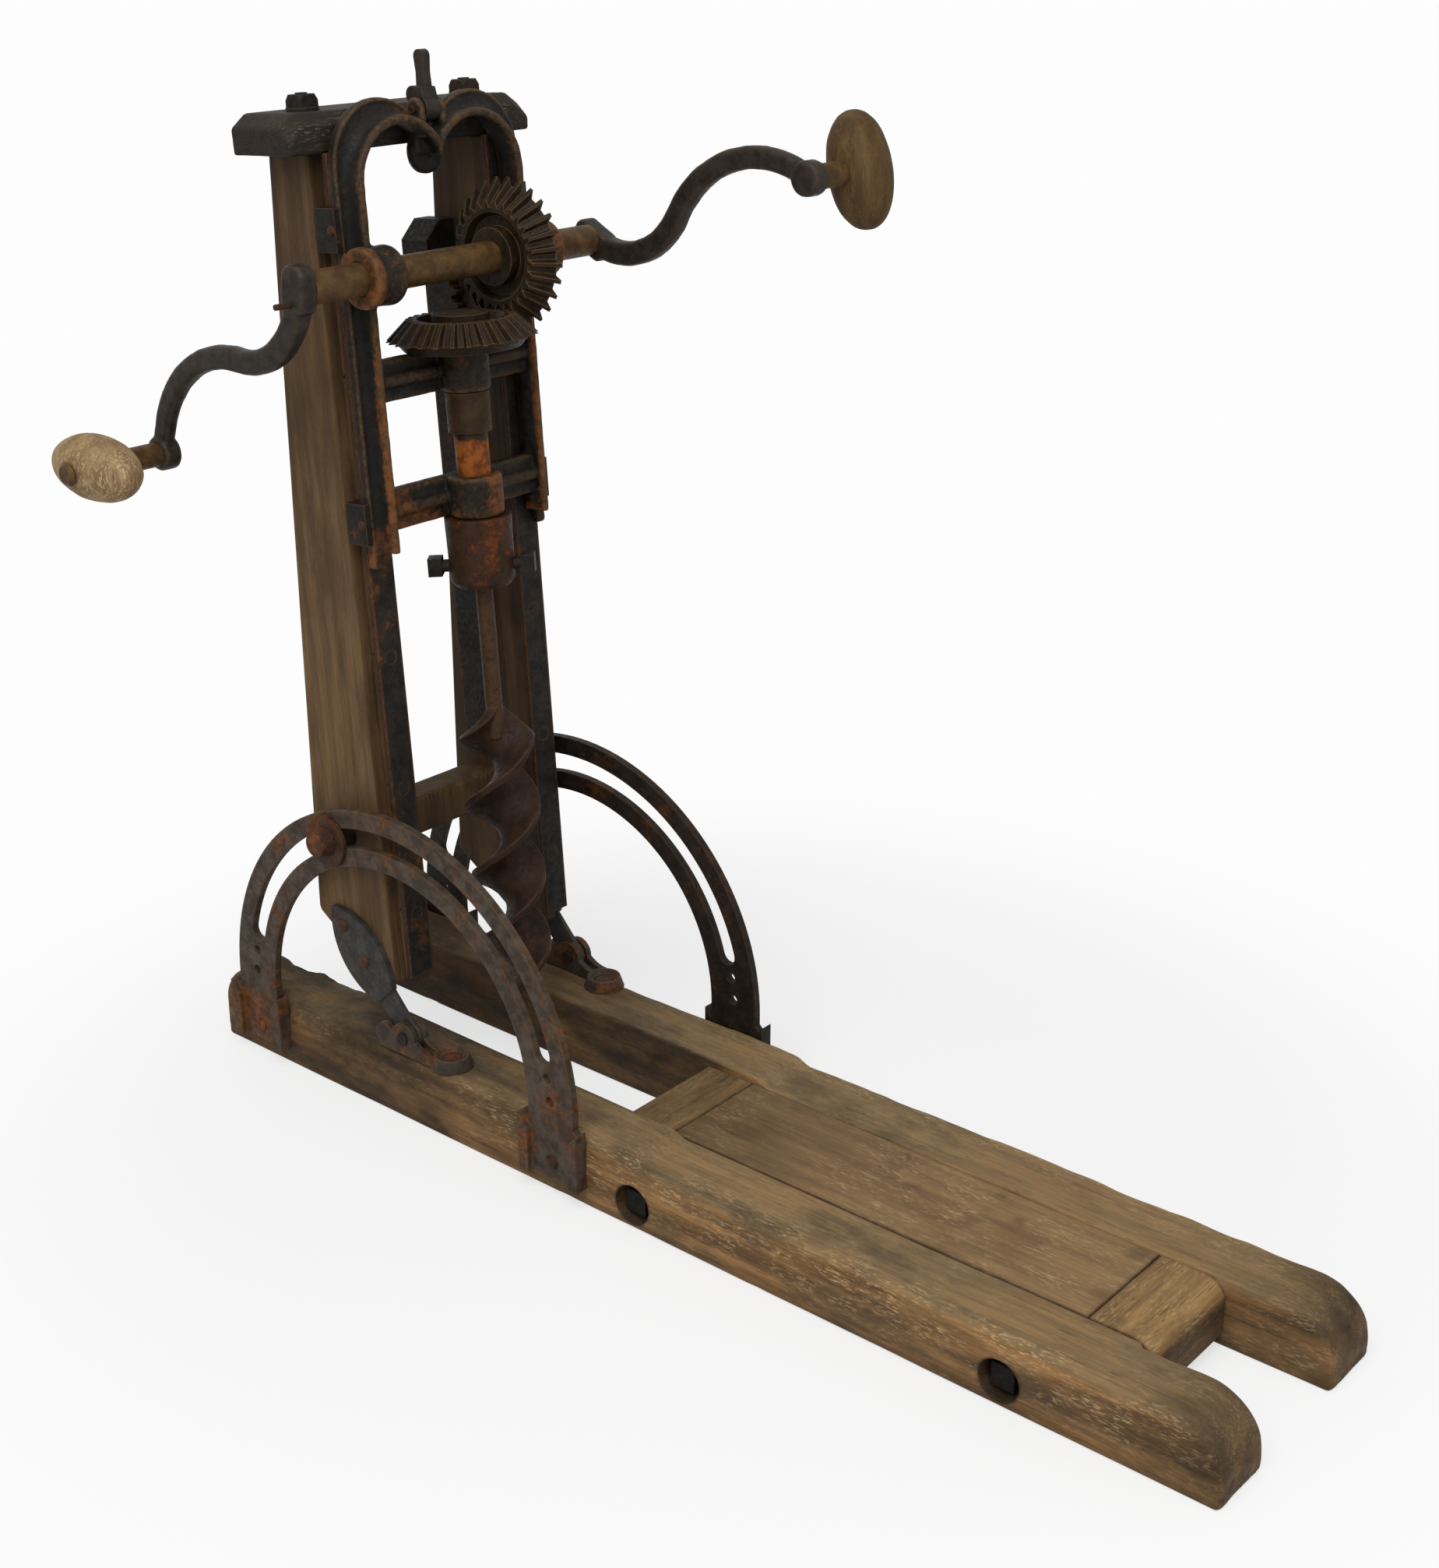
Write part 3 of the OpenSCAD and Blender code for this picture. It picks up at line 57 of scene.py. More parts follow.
# The camera, fitted to the photograph's 1848 x 2013 frame
PHOTO_WIDTH = 1848
CAMERA_PLACE = (-1069.2 * MM, -888.3 * MM, 873.6 * MM)
CAMERA_AZIMUTH = math.radians(-49.98)
CAMERA_ELEVATION = math.radians(22.27)
CAMERA_FOCAL_PIXELS = 2877.7
SENSOR_WIDTH = 36.0

# The upright's own frame: it leans back about the hinge pins
JOINT = {joint["name"]: joint for joint in frame["joints"]}
PIN = np.array(JOINT["upright_tilt"]["pos_m"])
UP = -np.array(JOINT["carriage_slide"]["axis"])
LEAN = math.atan2(UP[1], UP[2])


def turned(points, angle, centre):
    """Points turned about an X axis through a centre: up moves towards the back for a positive angle."""
    points = np.asarray(points, float)
    y = points[..., 1] - centre[1]
    z = points[..., 2] - centre[2]
    c = math.cos(angle)
    s = math.sin(angle)
    return np.stack([points[..., 0], centre[1] + y * c + z * s, centre[2] - y * s + z * c], axis=-1)


def leaned(points):
    """Points of the upright's own frame, put where the upright leans at rest."""
    return turned(points, LEAN, PIN)


def node_points(node):
    """A solid's corner points as an array."""
    mesh = frame["nodes"][node].data
    flat = np.zeros(len(mesh.vertices) * 3)
    mesh.vertices.foreach_get("co", flat)
    return flat.reshape(-1, 3)


def box(node):
    """Lowest and highest corner of a solid in the machine's frame."""
    points = node_points(node)
    return points.min(axis=0), points.max(axis=0)


def upright_box(node):
    """Lowest and highest corner of a solid in the upright's own frame."""
    points = turned(node_points(node), -LEAN, PIN)
    return points.min(axis=0), points.max(axis=0)


def joint_place(name):
    """A hinge's point in the upright's own frame."""
    return turned(np.array(JOINT[name]["pos_m"]), -LEAN, PIN)


# Noise and surfaces

# Large odd factors that scatter neighbouring cells
SCATTER = (374761393, 668265263, 1440662683, 974634777, 1274126177)


def corner_value(cell, seed):
    """A number from -1 to 1 for each whole-number cell, scattered from its three numbers and a seed."""
    by_x, by_y, by_z, by_seed, again = SCATTER
    value = cell[..., 0] * by_x + cell[..., 1] * by_y + cell[..., 2] * by_z + seed * by_seed
    value = value & 0xFFFFFFFF
    value = ((value ^ (value >> 13)) * again) & 0xFFFFFFFF
    return ((value ^ (value >> 16)) & 0xFFFFFF) / 0x7FFFFF - 1.0


def noise(points, seed):
    """Smooth noise from -1 to 1: a cell's eight corner values, blended by the point's place in the cell."""
    cell = np.floor(points).astype(np.int64)
    part = points - cell
    weight = part * part * (3.0 - 2.0 * part)
    total = np.zeros(points.shape[:-1])
    for corner in np.ndindex(2, 2, 2):
        side = np.array(corner)
        share = np.where(side == 1, weight, 1.0 - weight).prod(axis=-1)
        total += share * corner_value(cell + side, seed)
    return total


def rough(points, cell, octaves, seed):
    """Noise summed over octaves: each one has half the cell and half the height of the one before."""
    scaled = np.asarray(points) / np.asarray(cell)
    return sum(noise(scaled * 2 ** k, seed + k) / 2 ** k for k in range(octaves))


def step_up(values, low, high):
    """0 below low, 1 above high, and a smooth rise between."""
    t = np.clip((values - low) / (high - low), 0.0, 1.0)
    return t * t * (3.0 - 2.0 * t)


def rounded_rows(corners, radius, per_side, per_corner=7):
    """Closed outlines with rounded corners, one for each row.

    corners has rows of (a, b) points; each corner becomes a quadratic curve that starts and ends one radius
    from it, or just short of half a side, and each side between two corners gets its per_side points."""
    most = 0.48
    before = np.roll(corners, 1, axis=1) - corners
    after = np.roll(corners, -1, axis=1) - corners
    before_length = np.linalg.norm(before, axis=-1, keepdims=True) + TINY
    after_length = np.linalg.norm(after, axis=-1, keepdims=True) + TINY
    reach = np.broadcast_to(np.asarray(radius, float)[..., None], before_length.shape)
    reach = np.minimum(reach, most * np.minimum(before_length, after_length))
    start = corners + before / before_length * reach
    end = corners + after / after_length * reach
    bend = np.linspace(0.0, 1.0, per_corner)[None, :, None]
    parts = []
    for k in range(corners.shape[1]):
        following = (k + 1) % corners.shape[1]
        first = start[:, k:k + 1]
        tip = corners[:, k:k + 1]
        last = end[:, k:k + 1]
        parts.append((1 - bend) ** 2 * first + 2 * bend * (1 - bend) * tip + bend ** 2 * last)
        along = np.linspace(0.0, 1.0, per_side[k] + 2)[None, 1:-1, None]
        parts.append(last * (1 - along) + start[:, following:following + 1] * along)
    return np.concatenate(parts, axis=1)


def rounded_ends(first, last, spacing, radius, steps=5):
    """Places along a beam and how far its outline is drawn in there, so that both ends are rounded over."""
    turn = np.linspace(0.0, math.pi / 2, steps)
    places = radius * (1 - np.cos(turn))
    drawn_in = radius * (1 - np.sin(turn))
    count = max(int((last - first - 2 * radius) / spacing), 2)
    middle = np.linspace(first + radius, last - radius, count + 1)[1:-1]
    along = np.concatenate([first + places, middle, (last - places)[::-1]])
    return along, np.concatenate([drawn_in, np.zeros(len(middle)), drawn_in[::-1]])


def corner_rows(count, *corners):
    """A row of corners for each place: a corner is two numbers, or arrays with a number for each place."""
    full = np.zeros(count)
    return np.stack([np.stack(np.broadcast_arrays(a, b, full)[:2], axis=-1) for a, b in corners], axis=1)


def carried(loops, places, axis):
    """Flat outlines set along an axis: a row's place goes to that axis, its two numbers to the others."""
    parts = [loops[..., 0], loops[..., 1]]
    parts.insert(axis, np.broadcast_to(places[:, None], loops.shape[:2]))
    return np.stack(parts, axis=-1)


def drawn_corners(corners, inset):
    """Corner points moved towards the middle of their row by an inset along both axes."""
    middle = (corners.max(axis=1, keepdims=True) + corners.min(axis=1, keepdims=True)) / 2
    return corners - np.sign(corners - middle) * inset[:, None, None]


def loft(rows, rings=8, capped=True):
    """A skin over closed rows as points and faces; each end is closed by rings that shrink to its middle."""
    rows = np.asarray(rows, float)
    count = rows.shape[1]
    ends = []
    if capped:
        shrink = np.linspace(1.0, 0.0, rings + 1)[1:-1, None, None]
        middles = rows[[0, -1]].mean(axis=1)
        first = middles[0] + (rows[0] - middles[0]) * shrink[::-1]
        last = middles[1] + (rows[-1] - middles[1]) * shrink
        rows = np.concatenate([first, rows, last])
        ends = middles.tolist()
    total = rows.shape[0]
    i, j = np.meshgrid(np.arange(total - 1), np.arange(count), indexing="ij")
    k = (j + 1) % count
    quads = np.stack([i * count + j, i * count + k, (i + 1) * count + k, (i + 1) * count + j], axis=-1)
    points = rows.reshape(-1, 3).tolist() + ends
    faces = quads.reshape(-1, 4).tolist()
    if capped:
        base = total * count
        last_row = (total - 1) * count
        faces += [[base, (n + 1) % count, n] for n in range(count)]
        faces += [[base + 1, last_row + n, last_row + (n + 1) % count] for n in range(count)]
    return points, faces


def revolve(profile, segments=48):
    """A profile of (radius, height) turned about the Z axis; it starts and ends on the axis."""
    turn = np.linspace(0.0, 2 * math.pi, segments, endpoint=False)
    profile = np.asarray(profile, float)
    rows = np.stack([profile[:, :1] * np.cos(turn), profile[:, :1] * np.sin(turn),
                     np.repeat(profile[:, 1:], segments, axis=1)], axis=-1)
    return loft(rows, capped=False)


def smooth_profile(points, radius, per_side=3):
    """An open profile of (radius, height) points with its inner corners rounded."""
    per_corner = 5
    points = np.asarray(points, float)[None]
    count = points.shape[1]
    rows = rounded_rows(points, np.full(count, radius), [per_side] * count, per_corner)[0]
    return np.concatenate([points[0, :1], rows[per_corner:-per_corner - per_side], points[0, -1:]])


def joined(*shells):
    """Several shells of points and faces as one."""
    points = []
    faces = []
    for shell_points, shell_faces in shells:
        offset = len(points)
        points += shell_points
        faces += [[v + offset for v in face] for face in shell_faces]
    return points, faces


def placed(shell, change):
    """A shell with its points changed by a function of the whole array."""
    points, faces = shell
    return change(np.array(points)).tolist(), faces


def measured(mesh):
    """A mesh's points and their normals as two arrays."""
    count = len(mesh.vertices)
    place = np.zeros(count * 3)
    normal = np.zeros(count * 3)
    mesh.vertices.foreach_get("co", place)
    mesh.vertex_normals.foreach_get("vector", normal)
    return place.reshape(-1, 3), normal.reshape(-1, 3)


def convexity(mesh):
    """How far each point stands out from its neighbours: 0 where flat, up to 1 along a worn edge.

    It is the mean of the neighbours' directions against the normal, times a gain."""
    gain = 5.0
    place, normal = measured(mesh)
    edges = np.zeros(len(mesh.edges) * 2, int)
    mesh.edges.foreach_get("vertices", edges)
    edges = edges.reshape(-1, 2)
    offset = place[edges[:, 0]] - place[edges[:, 1]]
    offset /= np.linalg.norm(offset, axis=1, keepdims=True) + TINY
    total = np.zeros(len(place))
    used = np.zeros(len(place))
    for end, sign in ((0, 1.0), (1, -1.0)):
        lift = sign * (normal[edges[:, end]] * offset).sum(axis=1)
        np.add.at(total, edges[:, end], lift)
        np.add.at(used, edges[:, end], 1.0)
    return np.clip(total / np.maximum(used, 1.0) * gain, 0.0, 1.0)


def slab(corners, bottom, top, radius, edge, per_side=4):
    """A plate of one outline with rounded corners, whose two faces' edges are rounded over."""
    w, inset = rounded_ends(bottom, top, max((top - bottom) / 6, 1e-4), edge)
    rows = drawn_corners(np.repeat(np.asarray(corners, float)[None], len(w), axis=0), inset)
    loops = rounded_rows(rows, np.full(rows.shape[1], radius), [per_side] * rows.shape[1], 5)
    return loft(carried(loops, w, 2), rings=6)


def drum(radius, bottom, top, edge, segments=64):
    """A round boss about the Z axis with rounded edges."""
    return revolve(smooth_profile([(0, bottom), (radius, bottom), (radius, top), (0, top)], edge), segments)


def piece(name, shell, body, finish, replaced, relief, cutters=(), voxel=None, soften=0, paint=None):
    """Makes a shell into a piece that rides on a body, stands for the solids it replaces and has a finish.

    relief gives how far each point moves along its normal; cutters are shells that are cut out; voxel joins
    overlapping shells into one skin of that cell size, and soften is how often that skin is smoothed; paint
    gives the shares of dirt and painted shade, rust or bare patches at each point."""
    points, faces = shell
    mesh = bpy.data.meshes.new(name)
    mesh.from_pydata(points, [], faces)
    work = bmesh.new()
    work.from_mesh(mesh)
    bmesh.ops.remove_doubles(work, verts=work.verts, dist=1e-6)
    bmesh.ops.recalc_face_normals(work, faces=work.faces)
    work.to_mesh(mesh)
    work.free()
    item = bpy.data.objects.new(name, mesh)
    bpy.context.scene.collection.objects.link(item)
    tools = []
    if voxel:
        item.modifiers.new("skin", "REMESH").mode = "VOXEL"
        item.modifiers["skin"].voxel_size = voxel
        item.modifiers.new("soften", "SMOOTH").iterations = soften
    for k, cutter in enumerate(cutters):
        tool_mesh = bpy.data.meshes.new(f"{name}_cutter_{k}")
        tool_mesh.from_pydata(cutter[0], [], cutter[1])
        tool = bpy.data.objects.new(tool_mesh.name, tool_mesh)
        bpy.context.scene.collection.objects.link(tool)
        tools.append(tool)
        cut = item.modifiers.new(tool.name, "BOOLEAN")
        cut.operation = "DIFFERENCE"
        cut.object = tool
    if item.modifiers:
        graph = bpy.context.evaluated_depsgraph_get()
        finished = bpy.data.meshes.new_from_object(item.evaluated_get(graph))
        item.modifiers.clear()
        item.data = finished
        finished.name = name
    for tool in tools:
        bpy.data.objects.remove(tool)
    mesh = item.data
    place, normal = measured(mesh)
    mesh.vertices.foreach_set("co", (place + normal * relief(place)[:, None]).ravel())
    mesh.update()
    shares = {"wear": convexity(mesh)}
    if paint:
        shares.update(paint(measured(mesh)[0]))
    for label, values in shares.items():
        mesh.attributes.new(label, "FLOAT", "POINT").data.foreach_set("value", np.clip(values, 0.0, 1.0))
    mesh.polygons.foreach_set("use_smooth", np.ones(len(mesh.polygons), bool))
    mesh.set_sharp_from_angle(angle=math.radians(50))
    mesh.materials.clear()
    mesh.materials.append(material(finish))
    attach(item, body)
    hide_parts(*replaced)


# Colours, sizes and light that a user would change

def linear(code):
    """An sRGB hex colour as linear red, green, blue and a full alpha."""
    parts = [int(code[k:k + 2], 16) / 255 for k in (1, 3, 5)]
    return tuple(p / 12.92 if p <= 0.04045 else ((p + 0.055) / 1.055) ** 2.4 for p in parts) + (1.0,)


class MachineSettings(bpy.types.PropertyGroup):
    """Sizes, colours and light of the dressed machine."""
    rail_round: bpy.props.FloatProperty(name="Rail edge", description="Radius of the rails' worn edges",
                                        default=7 * MM, unit="LENGTH")
    plank_round: bpy.props.FloatProperty(name="Plank edge", description="Radius of the planks' edges",
                                         default=1.2 * MM, unit="LENGTH")
    post_round: bpy.props.FloatProperty(name="Post edge", description="Radius of the posts' edges",
                                        default=2.2 * MM, unit="LENGTH")
    wood_step: bpy.props.FloatProperty(name="Wood step", description="Distance between points on the wood",
                                       default=2.6 * MM, unit="LENGTH")
    rail_colour: bpy.props.FloatVectorProperty(name="Rails", description="Middle tone of the rails' oak",
                                               subtype="COLOR", default=linear("#9a7449")[:3])
    grip_colour: bpy.props.FloatVectorProperty(name="Pale grip", description="Middle tone of the left grip",
                                               subtype="COLOR", default=linear("#a48a63")[:3])
    paint_colour: bpy.props.FloatVectorProperty(name="Paint", description="Paler tone of the painted iron",
                                                subtype="COLOR", default=linear("#1c1914")[:3])
    floor_colour: bpy.props.FloatVectorProperty(name="Floor", description="Colour of the pale floor",
                                                subtype="COLOR", default=linear("#f6f6f6")[:3])
    key_power: bpy.props.FloatProperty(name="Key lamp", description="Power of the large lamp",
                                       default=46.0, unit="POWER")
    fill_power: bpy.props.FloatProperty(name="Fill lamp", description="Power of the front lamp",
                                        default=9.0, unit="POWER")
    world_light: bpy.props.FloatProperty(name="Sky", description="Strength of the even light", default=0.32)


def settings():
    """The sizes, colours and light in use."""
    return bpy.context.scene.boring_machine


# Finishes

def tone(code):
    """A finish's colour: an sRGB hex value, or the name of a colour in the settings."""
    return linear(code) if code.startswith("#") else (*getattr(settings(), code), 1.0)


def add(tree, kind, inputs=(), out=0, **options):
    """Adds a node with its options and gives one of its outputs.

    inputs are in order, or in a dict by name or number; each is a value or another node's output."""
    item = tree.nodes.new("ShaderNode" + kind)
    for name, value in options.items():
        setattr(item, name, value)
    for key, value in inputs.items() if isinstance(inputs, dict) else enumerate(inputs):
        if isinstance(value, bpy.types.NodeSocket):
            tree.links.new(value, item.inputs[key])
        else:
            item.inputs[key].default_value = value
    return item.outputs[out]


# Options that many nodes share: a smooth rise, a mix of colours, and sums that stay between 0 and 1
RISE = {"interpolation_type": "SMOOTHSTEP"}
TINT = {"data_type": "RGBA", "clamp_result": True}
TIMES = {"operation": "MULTIPLY", "use_clamp": True}
PLUS = {"operation": "ADD", "use_clamp": True}
LESS = {"operation": "SUBTRACT", "use_clamp": True}
MOST = {"operation": "MAXIMUM", "use_clamp": True}

GRAIN_TURN = {"x": (0.0, -math.pi / 2, 0.0), "y": (math.pi / 2, 0.0, 0.0), "upright": (LEAN, 0.0, 0.0)}
CRACK = "#1c1611"
# Colours of dirt, which also paint shade in the post rebates, the bolt holes and on the rail noses
WOOD_DIRT_AND_SHADE = "#1b130c"
IRON_DIRT_AND_SHADE = "#0e0b08"


def pattern(tree, place, width, length, detail, seed):
    """Noise in cells of a width and a length in millimetres, the length along the turned Z axis."""
    scale = (1 / (width * MM), 1 / (width * MM), 1 / (length * MM))
    apart = (seed, seed * 1.7, seed * 2.3)
    spot = add(tree, "Mapping", {"Vector": place, "Location": apart, "Scale": scale})
    return add(tree, "TexNoise", {"Vector": spot, "Scale": 1.0, "Detail": detail, "Roughness": 0.62}, "Fac")


def blank(name):
    """A new material with its tree and its main shader."""
    item = bpy.data.materials.new(name)
    item.use_nodes = True
    return item, item.node_tree, item.node_tree.nodes["Principled BSDF"]


def oak(name, dark, mid, pale, stain, top, grain, fleck=0.2, stained=0.5, crack=0.5, fine=1.6, weather=0.5):
    """Old sawn wood, left bare: streaks along the grain, grey where rain fell, pale chips where it is rubbed.

    Oak's pores are about 0.3 mm wide; they, the chips and the streaks are drawn three or more times as wide,
    so that they show. The attribute bare adds chips; the attribute for dirt and shade adds dirt, and painted
    shade where a piece marks it."""
    item, tree, shader = blank(name)
    place = add(tree, "TexCoord", out="Object")
    place = add(tree, "Mapping", {"Vector": place, "Rotation": GRAIN_TURN[grain]})
    broad = pattern(tree, place, 11, 150, 4, 1.0)
    streak = pattern(tree, place, fine, 60, 6, 2.0)
    cloud = pattern(tree, place, 32, 80, 6, 3.0)
    chip = pattern(tree, place, 1.3, 6, 4, 4.0)
    patch = pattern(tree, place, 16, 34, 5, 5.0)
    pore = pattern(tree, place, 0.9, 24, 2, 6.0)
    growth = add(tree, "MapRange", [broad, 0.34, 0.66], **RISE)
    upward = add(tree, "SeparateXYZ", [add(tree, "TexCoord", out="Normal")], 2)
    upward = add(tree, "MapRange", [upward, 0.25, 0.9, 0.0, weather], **RISE)
    washed = add(tree, "MapRange", [cloud, 0.3, 0.6, 0.55, 1.0], **RISE)
    rained = add(tree, "Math", [upward, washed], **TIMES)
    spots = add(tree, "MapRange", [cloud, 0.43, 0.68, 0.0, stained * 0.72], **RISE)
    shade = add(tree, "MapRange", [streak, 0.3, 0.7, 0.78, 1.12], **RISE)
    grey = add(tree, "CombineColor", [shade, shade, shade])
    bare = add(tree, "Math", [add(tree, "Attribute", out="Fac", attribute_name="bare"), 0.65], **TIMES)
    rubbed = add(tree, "Math", [bare, fleck], **PLUS)
    rubbed = add(tree, "Math", [add(tree, "MapRange", [patch, 0.36, 0.62], **RISE), rubbed], **TIMES)
    chipped = add(tree, "Math", [add(tree, "MapRange", [chip, 0.5, 0.64], **RISE), rubbed], **TIMES)
    cracked = add(tree, "MapRange", [pore, 0.62, 0.7, 0.0, crack], **RISE)
    thick = add(tree, "MapRange", [patch, 0.25, 0.65, 0.95, 0.65], **RISE)
    # Dirt, and painted shade where a piece marks it, darken the wood
    dark_share = add(tree, "Math", [add(tree, "Attribute", out="Fac", attribute_name="grime"), thick], **TIMES)
    colour = tone(dark)
    layers = ((growth, tone(mid), "MIX"), (rained, tone(top), "MIX"), (spots, tone(stain), "MIX"),
              (1.0, grey, "MULTIPLY"), (chipped, tone(pale), "MIX"), (cracked, tone(CRACK), "MIX"),
              (dark_share, tone(WOOD_DIRT_AND_SHADE), "MIX"))
    for share, layer, blend in layers:
        colour = add(tree, "Mix", {0: share, 6: colour, 7: layer}, 2, blend_type=blend, **TINT)
    ridges = add(tree, "Math", [streak, 0.5], **TIMES)
    relief = add(tree, "Math", [ridges, add(tree, "Math", [cracked, 0.4], **TIMES)], **LESS)
    bump = add(tree, "Bump", {"Strength": 0.4, "Distance": 0.8 * MM, "Height": relief})
    tree.links.new(colour, shader.inputs["Base Color"])
    tree.links.new(bump, shader.inputs["Normal"])
    tree.links.new(add(tree, "MapRange", [streak, 0.2, 0.8, 0.6, 0.84], **RISE), shader.inputs["Roughness"])
    shader.inputs["Specular IOR Level"].default_value = 0.2
    return item


def iron(name, tones, rust, rubbed, rubbing, metal, rusted=0.4, shine=(0.45, 0.75), edge=1.4, band=None):
    """Old iron, cast or forged: two mottled tones, patches of rust, and edges rubbed down to a paler tone.

    Its dark skin of paint, scale and oil makes it dull, so it is hardly metallic. Its grit is under 1 mm and
    is drawn 3 mm wide, so that it shows. The attributes wear and rust add rubbed metal and rust, and the
    attribute for dirt and shade darkens it where a piece marks it; band gives two heights along the upright
    in millimetres, between which more rust sets in downwards."""
    item, tree, shader = blank(name)
    place = add(tree, "TexCoord", out="Object")
    mottle = pattern(tree, place, 11, 11, 5, 1.0)
    cloud = pattern(tree, place, 42, 42, 4, 2.0)
    speck = pattern(tree, place, 3, 3, 4, 3.0)
    blotch = pattern(tree, place, 7, 7, 4, 4.0)
    normal = add(tree, "NewGeometry", out="Normal")
    rounded = add(tree, "Bevel", {"Radius": edge * MM}, samples=4)
    flat = add(tree, "VectorMath", [normal, rounded], "Value", operation="DOT_PRODUCT")
    wear = add(tree, "Math", [add(tree, "Attribute", out="Fac", attribute_name="wear"), 1.3], **TIMES)
    rim = add(tree, "Math", [add(tree, "MapRange", [flat, 0.995, 0.86], **RISE), wear], **PLUS)
    spread = add(tree, "Math", [add(tree, "Math", [cloud, 0.7], **TIMES),
                                add(tree, "Math", [speck, 0.3], **TIMES)], **PLUS)
    rusting = add(tree, "Math", [add(tree, "Attribute", out="Fac", attribute_name="rust"), 0.34], **TIMES)
    if band:
        along = add(tree, "VectorMath", [place, tuple(UP)], "Value", operation="DOT_PRODUCT")
        offset = float(PIN @ UP - PIN[2])
        lower = [along, band[1] * MM + offset, band[0] * MM + offset, 0.0, 0.34]
        rusting = add(tree, "Math", [rusting, add(tree, "MapRange", lower, **RISE)], **PLUS)
    spread = add(tree, "Math", [spread, rusting], **PLUS)
    rusty = add(tree, "MapRange", [spread, 0.62 - 0.24 * rusted, 0.72 - 0.24 * rusted], **RISE)
    brown = add(tree, "MapRange", [blotch, 0.4, 0.62], **RISE)
    rust_colour = add(tree, "Mix", {0: brown, 6: tone(rust[0]), 7: tone(rust[1])}, 2, **TINT)
    full = add(tree, "Math", [add(tree, "Math", [rusting, 2.0], **TIMES), min(1.0, 0.45 + rusted)], **PLUS)
    covered = add(tree, "Math", [rusty, full], **TIMES)
    worn = add(tree, "Math", [rim, add(tree, "MapRange", [speck, 0.34, 0.6, 0.25, 1.0], **RISE)], **TIMES)
    worn = add(tree, "Math", [worn, rubbing], **TIMES)
    # Darkening where a piece marks it, from the attribute for dirt and shade
    dark_share = add(tree, "Math", [add(tree, "Attribute", out="Fac", attribute_name="grime"), 0.9], **TIMES)
    colour = tone(tones[0])
    layers = ((add(tree, "MapRange", [mottle, 0.36, 0.64], **RISE), tone(tones[1])), (covered, rust_colour),
              (worn, tone(rubbed)), (dark_share, tone(IRON_DIRT_AND_SHADE)))
    for share, layer in layers:
        colour = add(tree, "Mix", {0: share, 6: colour, 7: layer}, 2, **TINT)
    height = add(tree, "Math", [add(tree, "Math", [speck, 0.6], **TIMES),
                                add(tree, "Math", [rusty, 0.25], **TIMES)], **PLUS)
    bump = add(tree, "Bump", {"Strength": 0.35, "Distance": 0.6 * MM, "Height": height, "Normal": rounded})
    tree.links.new(colour, shader.inputs["Base Color"])
    tree.links.new(bump, shader.inputs["Normal"])
    tree.links.new(add(tree, "MapRange", [speck, 0.3, 0.7, *shine], **RISE), shader.inputs["Roughness"])
    shader.inputs["Metallic"].default_value = metal
    shader.inputs["Specular IOR Level"].default_value = 0.15
    return item


# Wood, by its kind and use, with what that gives the eye
WOODS = {
    # Sawn, rained on and sat on for years: grey-brown tops, dark stains and pale chips along the edges
    "Weathered rail oak": dict(
        dark="#664a2c", mid="rail_colour", pale="#b99c72", stain="#453b2c", top="#8a7655", grain="y",
        fleck=0.22, stained=1.0, crack=0.6, weather=0.75),
    # Planed and polished by clothes: even and warm, with few cracks and fine pale chips
    "Sat-on seat oak": dict(
        dark="#775d40", mid="#95764f", pale="#b89d73", stain="#5f472c", top="#8b7150", grain="y",
        fleck=0.2, stained=0.7, crack=0.2, weather=0.4),
    # The grain runs across: short broad streaks, open cracks and many pale chips
    "Cross-grained oak": dict(
        dark="#765a3a", mid="#a27f52", pale="#c0a274", stain="#5f4729", top="#94764c", grain="x",
        fleck=0.55, crack=0.7, fine=2.4, weather=0.3),
    # Planed and handled: dull brown, smooth, with long soft stains
    "Smooth post oak": dict(
        dark="#55402a", mid="#71573a", pale="#8d714d", stain="#3b2b1b", top="#5f4a33", grain="upright",
        fleck=0.12, stained=0.8, crack=0.25, weather=0.2),
    # Soaked with oil and dirt: nearly black, pale only where the chamfer is rubbed
    "Dark cap oak": dict(
        dark="#17120d", mid="#261e16", pale="#6b5a46", stain="#100c08", top="#2f261c", grain="x",
        weather=0.3),
    # Turned and worn by hands: pale and fine-grained, with many small cracks and chips
    "Hand-worn maple": dict(
        dark="#7d6344", mid="grip_colour", pale="#c6af88", stain="#63492f", top="grip_colour",
        grain="upright", fleck=0.7, crack=0.7, fine=1.1, weather=0.1),
    # The same wood darkened by oil from the hand
    "Handled dark maple": dict(
        dark="#402e18", mid="#604828", pale="#7f663f", stain="#2f2010", top="#604828", grain="upright",
        fleck=0.25, stained=0.6, crack=0.4, fine=1.1, weather=0.1),
}

